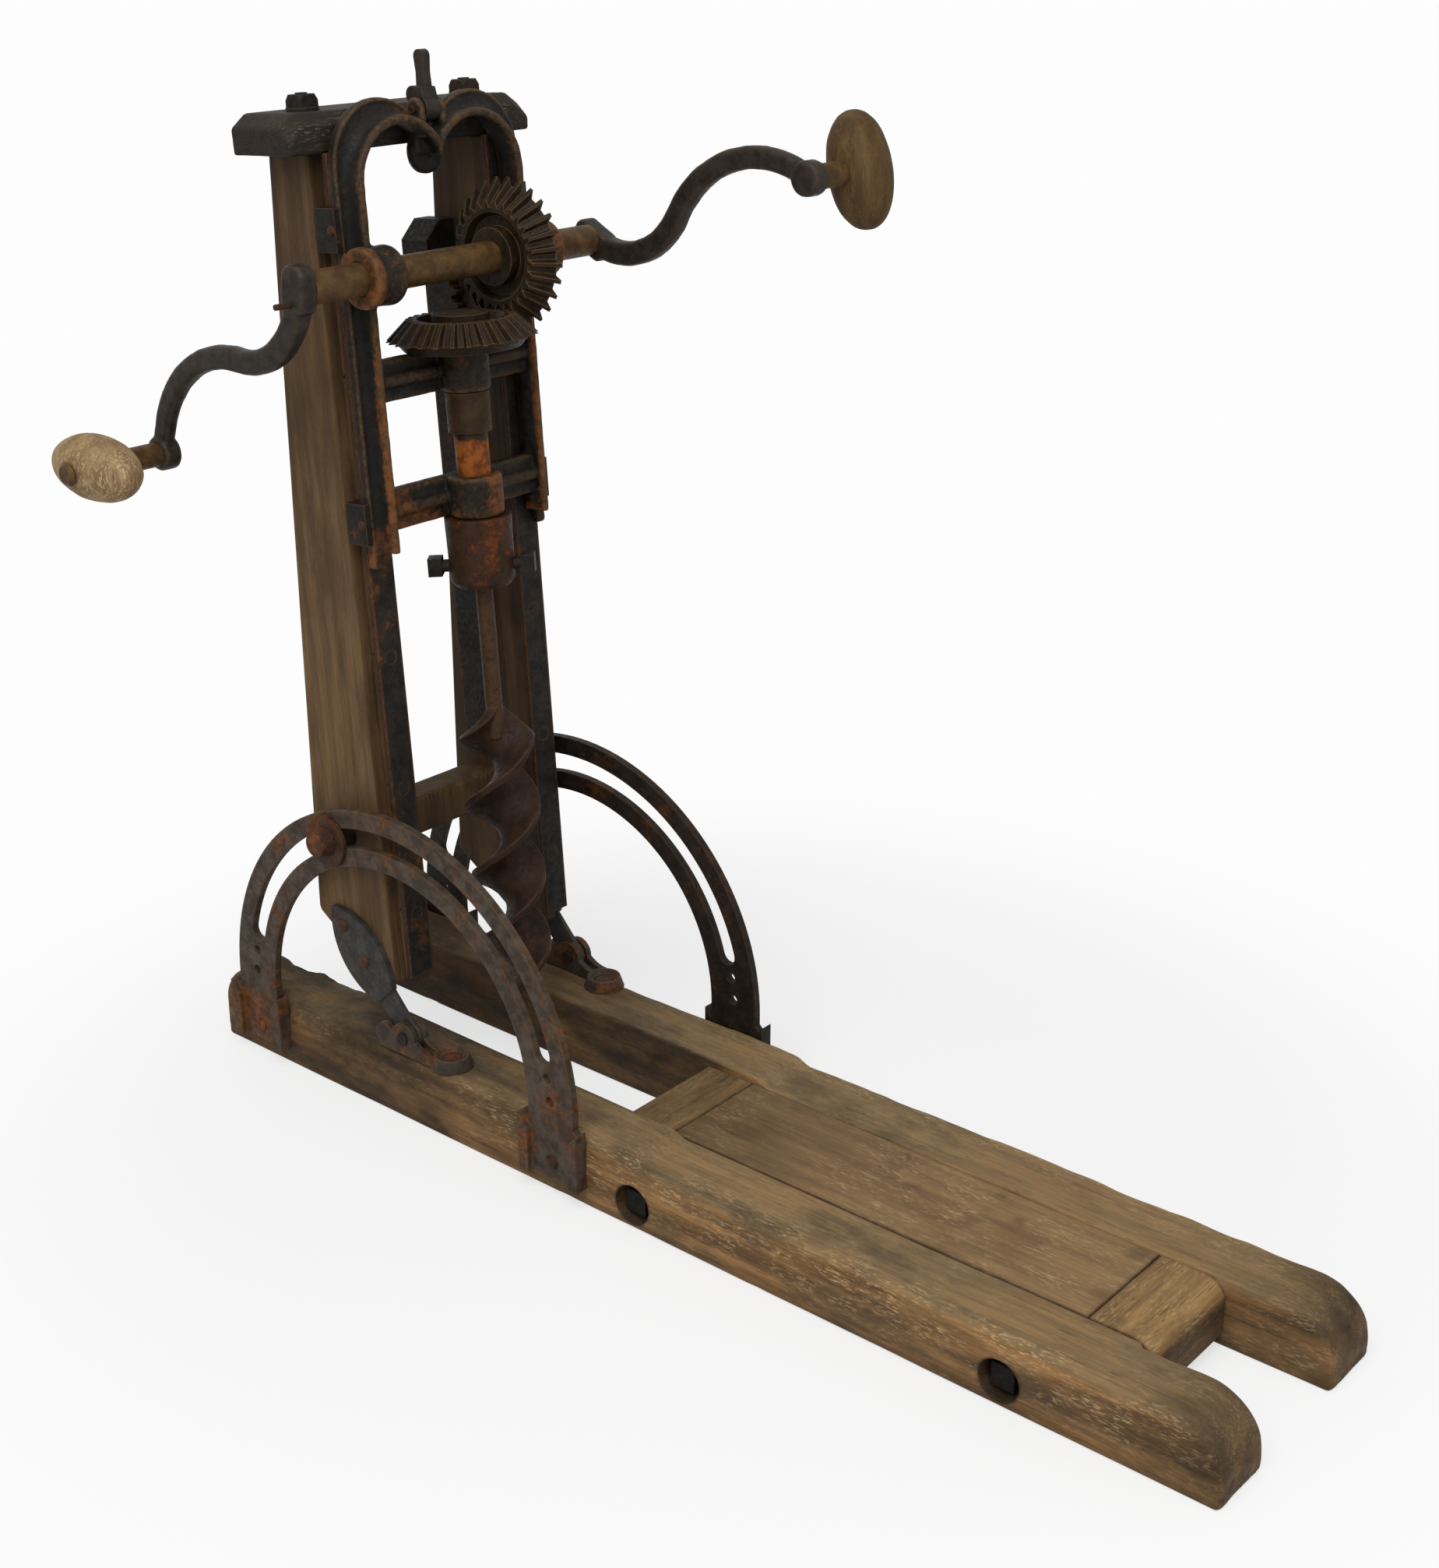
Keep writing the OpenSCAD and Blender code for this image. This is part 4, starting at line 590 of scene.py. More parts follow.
# Iron, by how it was made, with what that gives the eye
IRONS = {
    # Cast and painted black: dull, with brown metal where the paint is rubbed off the beads
    "Dark painted cast iron": dict(
        tones=("#0f0d0a", "paint_colour"), rust=("#3a2413", "#6b3d1c"), rubbed="#6b5033",
        rusted=0.2, rubbing=0.65, metal=0.0),
    # Rolled flat: black faces and long orange-brown edges where the carriage runs
    "Rolled iron strip": dict(
        tones=("#12100d", "#231e18"), rust=("#3a2616", "#633c1d"), rubbed="#74461f",
        rusted=0.35, rubbing=0.95, metal=0.0, edge=3.2),
    # Forged and left bare: grey-brown with soft patches of rust
    "Forged grey iron": dict(
        tones=("#352c24", "#50443a"), rust=("#462c16", "#74441d"), rubbed="#7d6140",
        rusted=0.42, rubbing=0.5, metal=0.1, edge=2.6),
    # Painted shade: the same iron made nearly black for the far quadrant, whose face lies in shade
    "Blackened forged iron": dict(
        tones=("#17120e", "#28201a"), rust=("#2d1d10", "#4f3018"), rubbed="#5a4229",
        rubbing=0.6, metal=0.05),
    # Hammered thin: cool grey with little rust
    "Blue-grey strap iron": dict(
        tones=("#2b2b29", "#3f3d39"), rust=("#3f2b1b", "#6b4323"), rubbed="#62503a",
        rusted=0.25, rubbing=0.5, metal=0.1),
    # Cast in sand: uneven, brown with rust, rubbed along the rims
    "Cast hinge iron": dict(
        tones=("#2c2722", "#41382f"), rust=("#402a18", "#623e22"), rubbed="#765537",
        rusted=0.55, rubbing=0.75, metal=0.05),
    # Forged round and handled: black-brown with a soft sheen
    "Black forged crank iron": dict(
        tones=("#1e1a16", "#302923"), rust=("#2b1f15", "#3d2a1a"), rubbed="#5c4c3b",
        rusted=0.3, rubbing=0.5, metal=0.1, shine=(0.4, 0.6)),
    # Cast and greased: dark brown, tan on the teeth's tips, where they are worn, and as a painted highlight
    "Cast gear iron": dict(
        tones=("#170f07", "#281b0d"), rust=("#1f1308", "#301d0c"), rubbed="#785d38",
        rubbing=0.8, metal=0.0, edge=1.3),
    # Turned and oiled: yellow-brown with a low gloss
    "Worn shaft steel": dict(
        tones=("#3f2e19", "#5a4225"), rust=("#312211", "#4b3218"), rubbed="#80643e",
        rubbing=0.5, metal=0.15, shine=(0.4, 0.62)),
    # Turned and never oiled below the upper boss: bright orange rust there
    "Orange-rusted spindle iron": dict(
        tones=("#281b0e", "#382814"), rust=("#5c2e10", "#85491c"), rubbed="#8a6238",
        rusted=0.1, rubbing=0.4, metal=0.0, band=(496, 508)),
    # Cast and damp: red-brown all over
    "Rusted chuck iron": dict(
        tones=("#24160d", "#352012"), rust=("#45230e", "#6c3715"), rubbed="#6f4a2c",
        rubbing=0.4, metal=0.0),
    # Twisted hot and browned: even dark brown with faint pale edges
    "Browned auger steel": dict(
        tones=("#20150e", "#312117"), rust=("#281810", "#3a2216"), rubbed="#58402a",
        rubbing=0.45, metal=0.05),
    # Small forged parts that rain reaches: brown and orange
    "Rusted bolt iron": dict(
        tones=("#2d1e14", "#432b1c"), rust=("#4f2912", "#78421a"), rubbed="#70492a",
        rusted=0.45, rubbing=0.4, metal=0.0),
    # Small forged parts that stay oiled: black with brown edges
    "Dark bolt iron": dict(
        tones=("#15120f", "#251f19"), rust=("#2b1c10", "#3d2614"), rubbed="#5a4630",
        rusted=0.35, rubbing=0.5, metal=0.05),
    # Painted shade: black and dull, for parts deep in their holes
    "Sooty sunk iron": dict(
        tones=("#0a0806", "#15110d"), rust=("#17100a", "#20160d"), rubbed="#2b2117",
        rusted=0.3, rubbing=0.4, metal=0.0, shine=(0.6, 0.85)),
}


def material(name):
    """The wood or iron of that name, made once."""
    made = bpy.data.materials.get(name)
    if made is None:
        made = oak(name, **WOODS[name]) if name in WOODS else iron(name, **IRONS[name])
    return made


# Wooden pieces

def old_wood(grain_axis, depth, seed):
    """Relief of old wood: shallow waves and fine ridges that run along the grain."""
    wave = np.full(3, 26 * MM)
    ridge = np.full(3, 3.2 * MM)
    wave[grain_axis] = 190 * MM
    ridge[grain_axis] = 60 * MM

    def relief(points):
        return depth * (0.8 * rough(points, wave, 2, seed) + 0.28 * rough(points, ridge, 2, seed + 9))
    return relief


class BORING_OT_rails(bpy.types.Operator):
    """Build the two worn oak rails of the base"""
    bl_idname = "boring.rails"
    bl_label = "Rails"

    def execute(self, context):
        self.rail(-1, "left_rail")
        self.rail(1, "right_rail")
        return {"FINISHED"}

    def rail(self, side, node):
        """One rail: an outline across X and Z carried along Y, lower along the seat and round at the nose.

        The nose's top is a quarter circle; its front and the rail's back end are rounded over."""
        chosen = settings()
        low, high = box(node)
        seat_low, seat_high = box("seat_board")
        cross_low, cross_high = box("opening_crosspiece")
        seat_top = seat_high[2]
        front, back = low[1], high[1]
        nose = 36 * MM
        blunt = 4.5 * MM
        ramp = 16 * MM
        tail = 4 * MM
        turn = np.linspace(0.0, math.pi / 2, 26)
        nose_y = front + nose * (1 - np.cos(turn))
        count = int((back - front - nose) / chosen.wood_step)
        flat_y = np.linspace(front + nose, back - tail, count)[1:]
        end = np.linspace(0.0, math.pi / 2, 5)[1:]
        y = np.concatenate([nose_y, flat_y, back - tail + tail * np.sin(end)])
        top = seat_top + (high[2] - seat_top) * step_up(y, cross_low[1] - ramp, cross_low[1])
        top[:len(turn)] = seat_top - nose + nose * np.sin(turn)
        from_front = np.clip(y - front, 0.0, blunt)
        inset = blunt - np.sqrt(blunt ** 2 - (blunt - from_front) ** 2)
        inset[-len(end):] += tail * (1 - np.cos(end))
        corners = corner_rows(len(y), (low[0], low[2]), (high[0], low[2]), (high[0], top), (low[0], top))
        wander = np.zeros((len(y), 3))
        wander[:, 1] = y
        outer = chosen.rail_round * (1.35 + 0.35 * rough(wander, 45 * MM, 3, 3 + side))
        foot = np.full(len(y), chosen.rail_round * 0.55)
        crisp = 2.2 * MM
        seat_side = np.where(y < seat_low[1] - 40 * MM, outer, crisp)
        upper = [outer, seat_side] if side > 0 else [seat_side, outer]
        radius = np.stack([foot, foot, *upper], axis=-1)
        loops = rounded_rows(drawn_corners(corners, inset), radius, [18, 18, 18, 18])
        grain = old_wood(1, 0.55 * MM, 20 + side)

        def relief(points):
            """The grain, rot on the top of the back end, which is deeper on the left, and a few dents."""
            decay = step_up(points[:, 1], 285 * MM, 330 * MM) * step_up(points[:, 2], 30 * MM, 50 * MM)
            crumbs = rough(points, (13 * MM, 24 * MM, 13 * MM), 4, 41)
            rot = 3.4 * MM if side < 0 else 0.8 * MM
            dents = step_up(rough(points, (9 * MM, 30 * MM, 9 * MM), 2, 60 + side), 0.55, 1.1)
            calm = step_up(points[:, 1], front, front + 30 * MM)
            return grain(points) + decay * rot * (crumbs - 0.35) - calm * dents * 1.1 * MM

        washer_low, washer_high = box("tie_washers")
        bolt_z = (washer_low[2] + washer_high[2]) / 2
        half = (washer_high[2] - washer_low[2]) / 2
        bolts = (washer_low[1] + half, washer_high[1] - half)
        bore = half + 1.5 * MM
        deep = 14 * MM
        proud = 6 * MM
        face = high[0] if side > 0 else low[0]
        hole = revolve([(0, -deep), (bore * 0.97, -deep), (bore, 0), (bore, proud), (0, proud)], 40)
        outward = np.array([side, side, 1])
        cutters = [placed(hole, lambda p, y0=bolt_y: np.array([face, y0, bolt_z]) + outward * p[:, [2, 0, 1]])
                   for bolt_y in bolts]
        outer_x = max(abs(low[0]), abs(high[0]))
        inner_x = min(abs(low[0]), abs(high[0]))

        def paint(points):
            """Chips on the outer top edge and side and on the nose; dirt below, inside and at the back;
            painted shade on the nose and on the bolt holes' walls.
            """
            x, y, z = np.abs(points[:, 0]), points[:, 1], points[:, 2]
            ridge = 1 - step_up(np.hypot(x - outer_x, z - seat_top), 6 * MM, 26 * MM)
            side_face = step_up(x, outer_x - 4 * MM, outer_x - 1 * MM) * step_up(z, 8 * MM, 26 * MM) * 0.6
            nose_part = (1 - step_up(y, front + 20 * MM, front + 90 * MM)) * 0.5
            bare = (ridge * 0.8 + side_face + nose_part) * (1 - step_up(y, 60 * MM, 260 * MM) * 0.75)
            foot_dirt = (1 - step_up(z, 1 * MM, 10 * MM)) * 0.5
            # Painted shade: the nose is darkened, as the light falls on it less than on the side
            nose_shade = (1 - step_up(y, front, front + 90 * MM)) * 0.9
            inside = (1 - step_up(x, inner_x, inner_x + 4 * MM)) * step_up(y, cross_low[1], cross_high[1])
            back_dirt = step_up(y, 30 * MM, 250 * MM) * 1.1
            cloud = 0.75 + 0.5 * rough(points, (40 * MM, 70 * MM, 40 * MM), 3, 300 + side)
            # Dirt below, inside and at the back, and painted shade on the nose
            dirt = [(foot_dirt + nose_shade + inside + back_dirt) * cloud]
            # Painted shade on the walls of the bolt holes, which the lamps would otherwise light
            for bolt_y in bolts:
                from_bolt = np.hypot(y - bolt_y, z - bolt_z)
                dirt.append(1 - step_up(from_bolt, bore + 0.2 * MM, bore + 1.6 * MM))
            return {"bare": bare, "grime": np.maximum.reduce(dirt)}
        piece(node.replace("rail", "oak_rail"), loft(carried(loops, y, 1)), "base", "Weathered rail oak",
              [node], relief, cutters, paint=paint)


class BORING_OT_seat(bpy.types.Operator):
    """Build the seat board and the two cross-pieces between the rails"""
    bl_idname = "boring.seat"
    bl_label = "Seat"

    def execute(self, context):
        self.plank("seat_board", 1, "Sat-on seat oak", 71)
        self.plank("opening_crosspiece", 0, "Cross-grained oak", 72)
        self.plank("tail_crosspiece", 0, "Cross-grained oak", 73)
        return {"FINISHED"}

    def plank(self, node, axis, finish, seed):
        """A plank: a rounded outline carried along Y, a hair narrower than the gap, so that seams show.

        The front third of the tail piece's top is an elliptic curve."""
        chosen = settings()
        seam = 0.5 * MM
        sunk = 0.3 * MM
        low, high = box(node)
        low = low + np.array([seam, seam * 0.6, 0])
        high = high - np.array([seam, seam * 0.6, sunk])
        y, inset = rounded_ends(low[1], high[1], chosen.wood_step, chosen.plank_round)
        top = np.full(len(y), high[2])
        if node == "tail_crosspiece":
            bow = (high[1] - low[1]) / 3
            reach = np.clip((y - low[1]) / bow, 0.0, 1.0)
            top = high[2] - bow * (1 - np.sqrt(1 - (1 - reach) ** 2))
        corners = corner_rows(len(y), (low[0], low[2]), (high[0], low[2]), (high[0], top), (low[0], top))
        corners = drawn_corners(corners, inset)
        loops = rounded_rows(corners, np.full(4, chosen.plank_round), [30, 8, 30, 8])

        def paint(points):
            """Dirt in the seams, towards the opening and in a few stains; chips where the seat is rubbed."""
            x, y = points[:, 0], points[:, 1]
            margin = np.minimum.reduce([x - low[0], high[0] - x, y - low[1], high[1] - y])
            seam_dirt = (1 - step_up(margin, 0.3 * MM, 1.8 * MM)) * 0.92
            opening = step_up(y, -180 * MM, 50 * MM) * 0.7
            spots = step_up(rough(points, (18 * MM, 26 * MM, 18 * MM), 3, seed + 7), 0.5, 0.9) * 0.4
            chips = step_up(rough(points, (40 * MM, 70 * MM, 40 * MM), 3, seed + 9), -0.5, 0.9) * 0.75
            middle = low[1] + 0.4 * (high[1] - low[1])
            rubbed = 1 - step_up(np.hypot(x, (y - middle) / 2), 15 * MM, 75 * MM)
            bare = (chips + 0.45 * rubbed) * (node == "seat_board")
            return {"grime": np.maximum.reduce([seam_dirt, opening, spots]), "bare": bare}
        piece("oak_" + node, loft(carried(loops, y, 1)), "base", finish, [node],
              old_wood(axis, 0.3 * MM, seed), paint=paint)


class BORING_OT_posts(bpy.types.Operator):
    """Build the two posts, the stretcher and the cap bar of the upright"""
    bl_idname = "boring.posts"
    bl_label = "Upright"

    def execute(self, context):
        self.post(-1, "left_post")
        self.post(1, "right_post")
        self.cross_beam("stretcher", "Smooth post oak", "upright_oak", 0.0, 2.5 * MM, 91, 0.5)
        self.cross_beam("cap_bar", "Dark cap oak", "cap_oak", 9 * MM, 2.2 * MM, 92, 0.0)
        return {"FINISHED"}

    def post(self, side, node):
        """A post: an outline across X and Y with a rebate, carried up Z.

        Its back tapers towards the top, and its heel is cut away below."""
        chosen = settings()
        low, high = upright_box(node)
        inner, outer = (low[0], high[0]) if side > 0 else (high[0], low[0])
        points = turned(node_points(node), -LEAN, PIN)
        foot_back = points[points[:, 2] < low[2] + MM, 1].max()
        top_back = points[points[:, 2] > high[2] - MM, 1].max()
        heel_z = points[points[:, 1] > high[1] - 0.5 * MM, 2].min()
        rebate = 12 * MM
        z, inset = rounded_ends(low[2], high[2], chosen.wood_step * 1.3, chosen.post_round)
        taper = np.interp(z, [heel_z, high[2]], [high[1], top_back])
        heel = np.interp(z, [low[2], heel_z], [foot_back, high[1]])
        rear = np.where(z < heel_z, heel, taper)
        notch = outer - side * rebate
        front = upright_box("right_guide_strip")[1][1]
        corners = corner_rows(len(z), (inner, front), (notch, front), (notch, front + rebate),
                              (outer, front + rebate), (outer, rear), (inner, rear))
        radius = np.array([1.0, 1.0, 0.8, 1.6, 2.4, 2.0]) * chosen.post_round * 0.6
        loops = rounded_rows(drawn_corners(corners, inset), radius, [5, 5, 5, 22, 10, 26])

        def paint(points):
            """Painted shade in the rebate and on the inner face, and dirt towards the top."""
            own = turned(points, -LEAN, PIN)
            # Painted shade: the rebate is blackened
            in_rebate = 1 - step_up(own[:, 1], front + rebate - 3 * MM, front + rebate + 0.5 * MM)
            # Painted shade on the inner face between the posts
            inside = 1 - step_up(np.abs(own[:, 0]), abs(inner) + 0.5 * MM, abs(inner) + 3 * MM)
            upper = step_up(own[:, 2], high[2] - 330 * MM, high[2]) * 0.5
            cloud = 0.8 + 0.5 * rough(points, (40 * MM, 40 * MM, 90 * MM), 3, 320 + side)
            return {"grime": np.maximum.reduce([in_rebate * 0.92, inside * 0.55, upper * cloud])}
        piece(node.replace("post", "oak_post"), placed(loft(carried(loops, z, 2)), leaned), "upright",
              "Smooth post oak", [node], old_wood(2, 0.32 * MM, 80 + side), paint=paint)

    def cross_beam(self, node, finish, slot, chamfer, radius, seed, dirt):
        """A beam: a rounded outline across Y and Z carried along X.

        A chamfer cuts its front top edge and slopes its ends down."""
        low, high = upright_box(node)
        x, inset = rounded_ends(low[0], high[0], 2.4 * MM, radius)
        cut = chamfer or radius
        top = np.full(len(x), high[2])
        if chamfer:
            run = 1.4 * chamfer
            from_end = np.minimum(x - low[0], high[0] - x)
            top = high[2] - chamfer * np.clip(1 - from_end / run, 0.0, 1.0)
        corners = corner_rows(len(x), (low[1], low[2]), (high[1], low[2]), (high[1], top),
                              (low[1] + cut, top), (low[1], top - cut))
        loops = rounded_rows(drawn_corners(corners, inset), np.full(5, radius), [14, 8, 12, 4, 5])

        def paint(points):
            """An even coat of dirt, and rubbed wood along the chamfer."""
            own = turned(points, -LEAN, PIN)
            edge = high[2] - low[1]
            rubbed = step_up(own[:, 2] - own[:, 1], edge - 2.2 * cut, edge - 1.2 * cut)
            return {"grime": np.full(len(points), dirt), "bare": rubbed}
        piece("oak_" + node, placed(loft(carried(loops, x, 0)), leaned), "upright", finish, [node],
              old_wood(0, 0.4 * MM, seed), paint=paint)


class BORING_OT_grips(bpy.types.Operator):
    """Turn the two egg-shaped wooden grips"""
    bl_idname = "boring.grips"
    bl_label = "Grips"

    def execute(self, context):
        self.grip("left", "Hand-worn maple", 119)
        self.grip("right", "Handled dark maple", 121)
        return {"FINISHED"}

    def grip(self, hand, finish, seed):
        """A grip: a slightly squared oval turned about its long axis, which lies square to the crank pin.

        The oval's half width is the cosine of the turn to a power just under 1, its height the sine."""
        node = hand + "_grip"
        centre = np.array(JOINT[hand + "_handle_spin"]["pos_m"])
        squared = 0.92
        pin = 6.4 * MM
        reach = 60 * MM
        points = node_points(node) - centre
        spread = points[:, 1:].T @ points[:, 1:]
        long_axis = np.linalg.eigh(spread)[1][:, 1]
        half_long = np.abs(points[:, 1:] @ long_axis).max()
        half_wide = np.abs(points[:, 0]).max()
        turn = np.linspace(-math.pi / 2, math.pi / 2, 49)
        profile = np.stack([half_wide * np.cos(turn) ** squared, half_long * np.sin(turn)], axis=-1)
        profile[[0, -1], 0] = 0.0
        axes = np.array([[1.0, 0.0, 0.0], [0.0, -long_axis[1], long_axis[0]], [0.0, *long_axis]])
        shell = placed(revolve(profile, 64), lambda p: centre + p @ axes)
        hole = revolve([(0, -reach), (pin, -reach), (pin, reach), (0, reach)], 32)
        bore = placed(hole, lambda p: centre + p[:, [2, 0, 1]])
        piece("wood_" + node, shell, hand + "_handle", finish, [node],
              lambda p: 0.35 * MM * rough(p, 14 * MM, 3, seed), [bore])


# Iron pieces

class BORING_OT_crank_arms(bpy.types.Operator):
    """Forge the two S-shaped crank arms"""
    bl_idname = "boring.crank_arms"
    bl_label = "Crank arms"

    def execute(self, context):
        self.arm(-1, "left")
        self.arm(1, "right")
        return {"FINISHED"}

    def arm(self, side, hand):
        """An arm: two quarter-circle bends of opposite hand, along which a rounded bar tapers to the eye.

        A squared head sits on the shaft, and a round eye holds the grip's pin."""
        node = hand + "_crank_arm"
        centre = np.array(JOINT["crank_turn"]["pos_m"])
        grip = np.array(JOINT[hand + "_handle_spin"]["pos_m"])
        low, high = box(node)
        plane_x = (low[0] + high[0]) / 2
        reach = np.array([grip[1] - centre[1], grip[2] - centre[2]])
        length = np.linalg.norm(reach)
        along = reach / length
        across = np.array([along[1], -along[0]]) * -side
        first = 0.41 * length
        second = length - first
        r1 = first / math.sqrt(2)
        r2 = second / math.sqrt(2)
        turn = np.linspace(-math.pi / 4, math.pi / 4, 40)
        path_1 = np.stack([first / 2 + r1 * np.sin(turn), r1 * np.cos(turn) - first / 2], axis=-1)
        path_2 = np.stack([first + second / 2 + r2 * np.sin(turn), second / 2 - r2 * np.cos(turn)], axis=-1)
        path = np.concatenate([path_1, path_2[1:]])
        tangent = np.gradient(path, axis=0)
        tangent /= np.linalg.norm(tangent, axis=1, keepdims=True)
        normal = np.stack([-tangent[:, 1], tangent[:, 0]], axis=-1)
        share = np.linspace(0.0, 1.0, len(path))
        half_w = (8.9 - 1.4 * share) * MM
        half_t = (6.6 - 1.6 * share) * MM
        corners = corner_rows(len(path), (-half_w, -half_t), (half_w, -half_t), (half_w, half_t),
                              (-half_w, half_t))
        loops = rounded_rows(corners, np.full(4, 4.2 * MM), [3, 3, 3, 3])
        flat = path[:, None] + normal[:, None] * loops[..., :1]

        def place(p):
            """Points along the reach, across it and along X, put where the arm is at rest."""
            yz = centre[1:] + p[..., :1] * along + p[..., 1:2] * across
            return np.concatenate([plane_x + p[..., 2:], yz], axis=-1)
        bar = loft(place(np.concatenate([flat, loops[..., 1:]], axis=-1)), rings=4)
        wide = 10.5 * MM
        over = 16 * MM
        inward = 14 * MM
        cut = 4.6 * MM
        thick = 7.2 * MM
        edge = 2.5 * MM
        head = slab([(-over + cut, -wide), (inward, -wide), (inward, wide), (-over + cut, wide),
                     (-over, wide - cut), (-over, cut - wide)], -thick, thick, edge, edge)

        def along_bend(p):
            """The head's own plane, turned to the start of the first bend."""
            s = math.sqrt(0.5)
            return place(np.stack([(p[:, 0] - p[:, 1]) * s, (p[:, 0] + p[:, 1]) * s, p[:, 2]], axis=-1))
        eye = drum(12 * MM, -7 * MM, 7 * MM, 3 * MM)
        eye = placed(eye, lambda p: place(p + np.array([length, 0.0, 0.0])))
        shell = joined(bar, placed(head, along_bend), eye)
        piece("forged_" + node, shell, "crank", "Black forged crank iron", [node],
              lambda p: 0.25 * MM * rough(p, 9 * MM, 3, 140 + side), voxel=1.0 * MM, soften=6)


class BORING_OT_carriage(bpy.types.Operator):
    """Cast the carriage frame with its arches, cross-bars and bosses"""
    bl_idname = "boring.carriage"
    bl_label = "Carriage"

    # The casting's sizes in millimetres in the upright's own frame; heights are from the crank shaft
    leg_in = 70.0
    leg_out = 84.0
    leg_down = 188
    foot_down = 199
    bar_step = 88
    bar_tall = 29
    bar_half = 73
    bar_front = 221
    bar_back = 231
    pendant_up = 73
    valley_up = 72

    def execute(self, context):
        shaft = joint_place("crank_turn") / MM
        latch = joint_place("latch_swing") / MM
        self.shaft_z = shaft[2]
        self.axis_y = shaft[1]
        self.back = upright_box("right_guide_strip")[0][1] / MM - 0.4
        self.front = self.back - 21.5
        self.plate = self.back - 8.0
        self.bar_low = upright_box("chuck")[1][2] / MM + 0.4
        shells = []
        for side in (-1, 1):
            shells += [self.side_frame(side), self.foot(side), self.bearing(side), self.lug(side, latch)]
        shells += [self.valley(), self.pendant(), self.pinion_arm()]
        for z0, radius in ((self.bar_low, 19.5), (self.bar_low + self.bar_step, 17.0)):
            boss = drum(radius, z0, z0 + self.bar_tall, 2.5)
            shells += [self.bar(z0), self.rib(z0), placed(boss, self.upright)]
        shell = placed(joined(*shells), lambda p: leaned(p * MM))
        shaft_bore = placed(drum(11.4, -120, 120, 0.5), self.across)
        spindle_bore = placed(drum(12.4, 400, 620, 0.5), self.upright)
        cutters = [placed(bore, lambda p: leaned(p * MM)) for bore in (shaft_bore, spindle_bore)]
        piece("cast_carriage_frame", shell, "carriage", "Dark painted cast iron",
              ["carriage_frame"], lambda p: 0.18 * MM * rough(p, 7 * MM, 3, 200), cutters,
              voxel=1.35 * MM, soften=5, paint=self.paint)
        return {"FINISHED"}

    def paint(self, points):
        """Rust on the bearings' rims, the lower boss's front, the beads and the feet; the coves darkened, and
        the hanging lobe blackened.
        """
        own = turned(points, -LEAN, PIN) / MM
        x, y, z = own[:, 0], own[:, 1], own[:, 2]
        aside = np.abs(x)
        from_shaft = np.hypot(y - self.axis_y, z - self.shaft_z)
        bearing = 1 - step_up(from_shaft, 19, 24)
        rim = step_up(aside, 76, 84) * bearing
        boss = 1 - step_up(np.hypot(x, y - self.axis_y), 19, 22)
        boss = boss * step_up(z, self.bar_low - 2, self.bar_low + 4)
        boss = boss * (1 - step_up(z, self.bar_low + self.bar_tall, self.bar_low + 33))
        boss = boss * (step_up(self.axis_y - y, 2, 12) * step_up(x, -14, 4))
        feet = (1 - step_up(z, self.shaft_z - 192, self.shaft_z - 150)) * 0.6
        bead = step_up(aside, 69, 70.5) * (1 - step_up(aside, 75, 77))
        bead = bead * (1 - step_up(y, self.front + 3, self.front + 7))
        bead = bead * (1 - step_up(z, self.shaft_z - 60, self.shaft_z - 20)) * 0.8
        cove = step_up(y, self.front + 5, self.front + 10) * step_up(aside, 72, 76)
        cove = cove * (1 - step_up(aside, 82, self.leg_out)) * 0.6
        lobe = 1 - step_up(np.hypot(x, z - self.shaft_z - self.pendant_up), 16, 19)
        lobe = lobe * step_up(y, self.plate - 3, self.plate)
        rust = np.maximum.reduce([rim, bearing * 0.25, boss, feet, bead])
        return {"rust": rust, "grime": np.maximum(cove, lobe)}

    def across(self, p):
        """Points about the Z axis laid along the crank shaft."""
        return p[:, [2, 0, 1]] + np.array([0, self.axis_y, self.shaft_z])

    def upright(self, p):
        """Points about the Z axis moved to the spindle's axis."""
        return p + np.array([0, self.axis_y, 0])

    def side_frame(self, side):
        """One leg and its arch: a section with a beaded web and a cove, carried from the foot to the cusp.

        The inner edge follows the window; the outer edge is where a ray from the window's centre meets the
        leg's side or the arch's outer circle. The section is a half-round bead, a quarter-ellipse cove, a
        small round lip and a flat back; it stops where the two arches meet."""
        window = np.array([33.5, self.shaft_z + 57])
        window_r = 36.5
        arch = np.array([42.0, self.shaft_z + 69])
        arch_r = 42.0
        steep = 0.05
        far = 1e3
        bead_r = 3
        lip_r = 1.5
        cusp = -0.7
        z = np.linspace(self.shaft_z - self.leg_down, window[1], 84)[:-1]
        inner_leg = np.stack([np.full(len(z), self.leg_in), z], axis=-1)
        outer_leg = np.stack([np.full(len(z), self.leg_out), z], axis=-1)
        turn = np.linspace(0.0, math.radians(159), 70)
        ray = np.stack([np.cos(turn), np.sin(turn)], axis=-1)
        inner_arch = window + window_r * ray
        to_centre = ray @ (arch - window)
        apart = ((arch - window) ** 2).sum()
        reach = to_centre + np.sqrt(np.maximum(to_centre ** 2 - apart + arch_r ** 2, 0.0))
        to_side = np.where(ray[:, 0] > steep, (self.leg_out - window[0]) / np.maximum(ray[:, 0], steep), far)
        below = window[1] + reach * ray[:, 1] < arch[1]
        reach = np.where(below, np.minimum(to_side, 60.0), reach)
        to_middle = np.where(ray[:, 0] < -steep, (window[0] + 5.0) / np.maximum(-ray[:, 0], steep), far)
        reach = np.maximum(np.minimum(reach, to_middle), window_r + 6.5)
        inner = np.concatenate([inner_leg, inner_arch])
        outer = np.concatenate([outer_leg, window + reach[:, None] * ray])
        width = np.linalg.norm(outer - inner, axis=1)
        bead = np.linspace(math.pi, 0.0, 13)
        bend = np.linspace(0.0, math.pi / 2, 12)
        lip = np.linspace(math.pi, 0.0, 7)
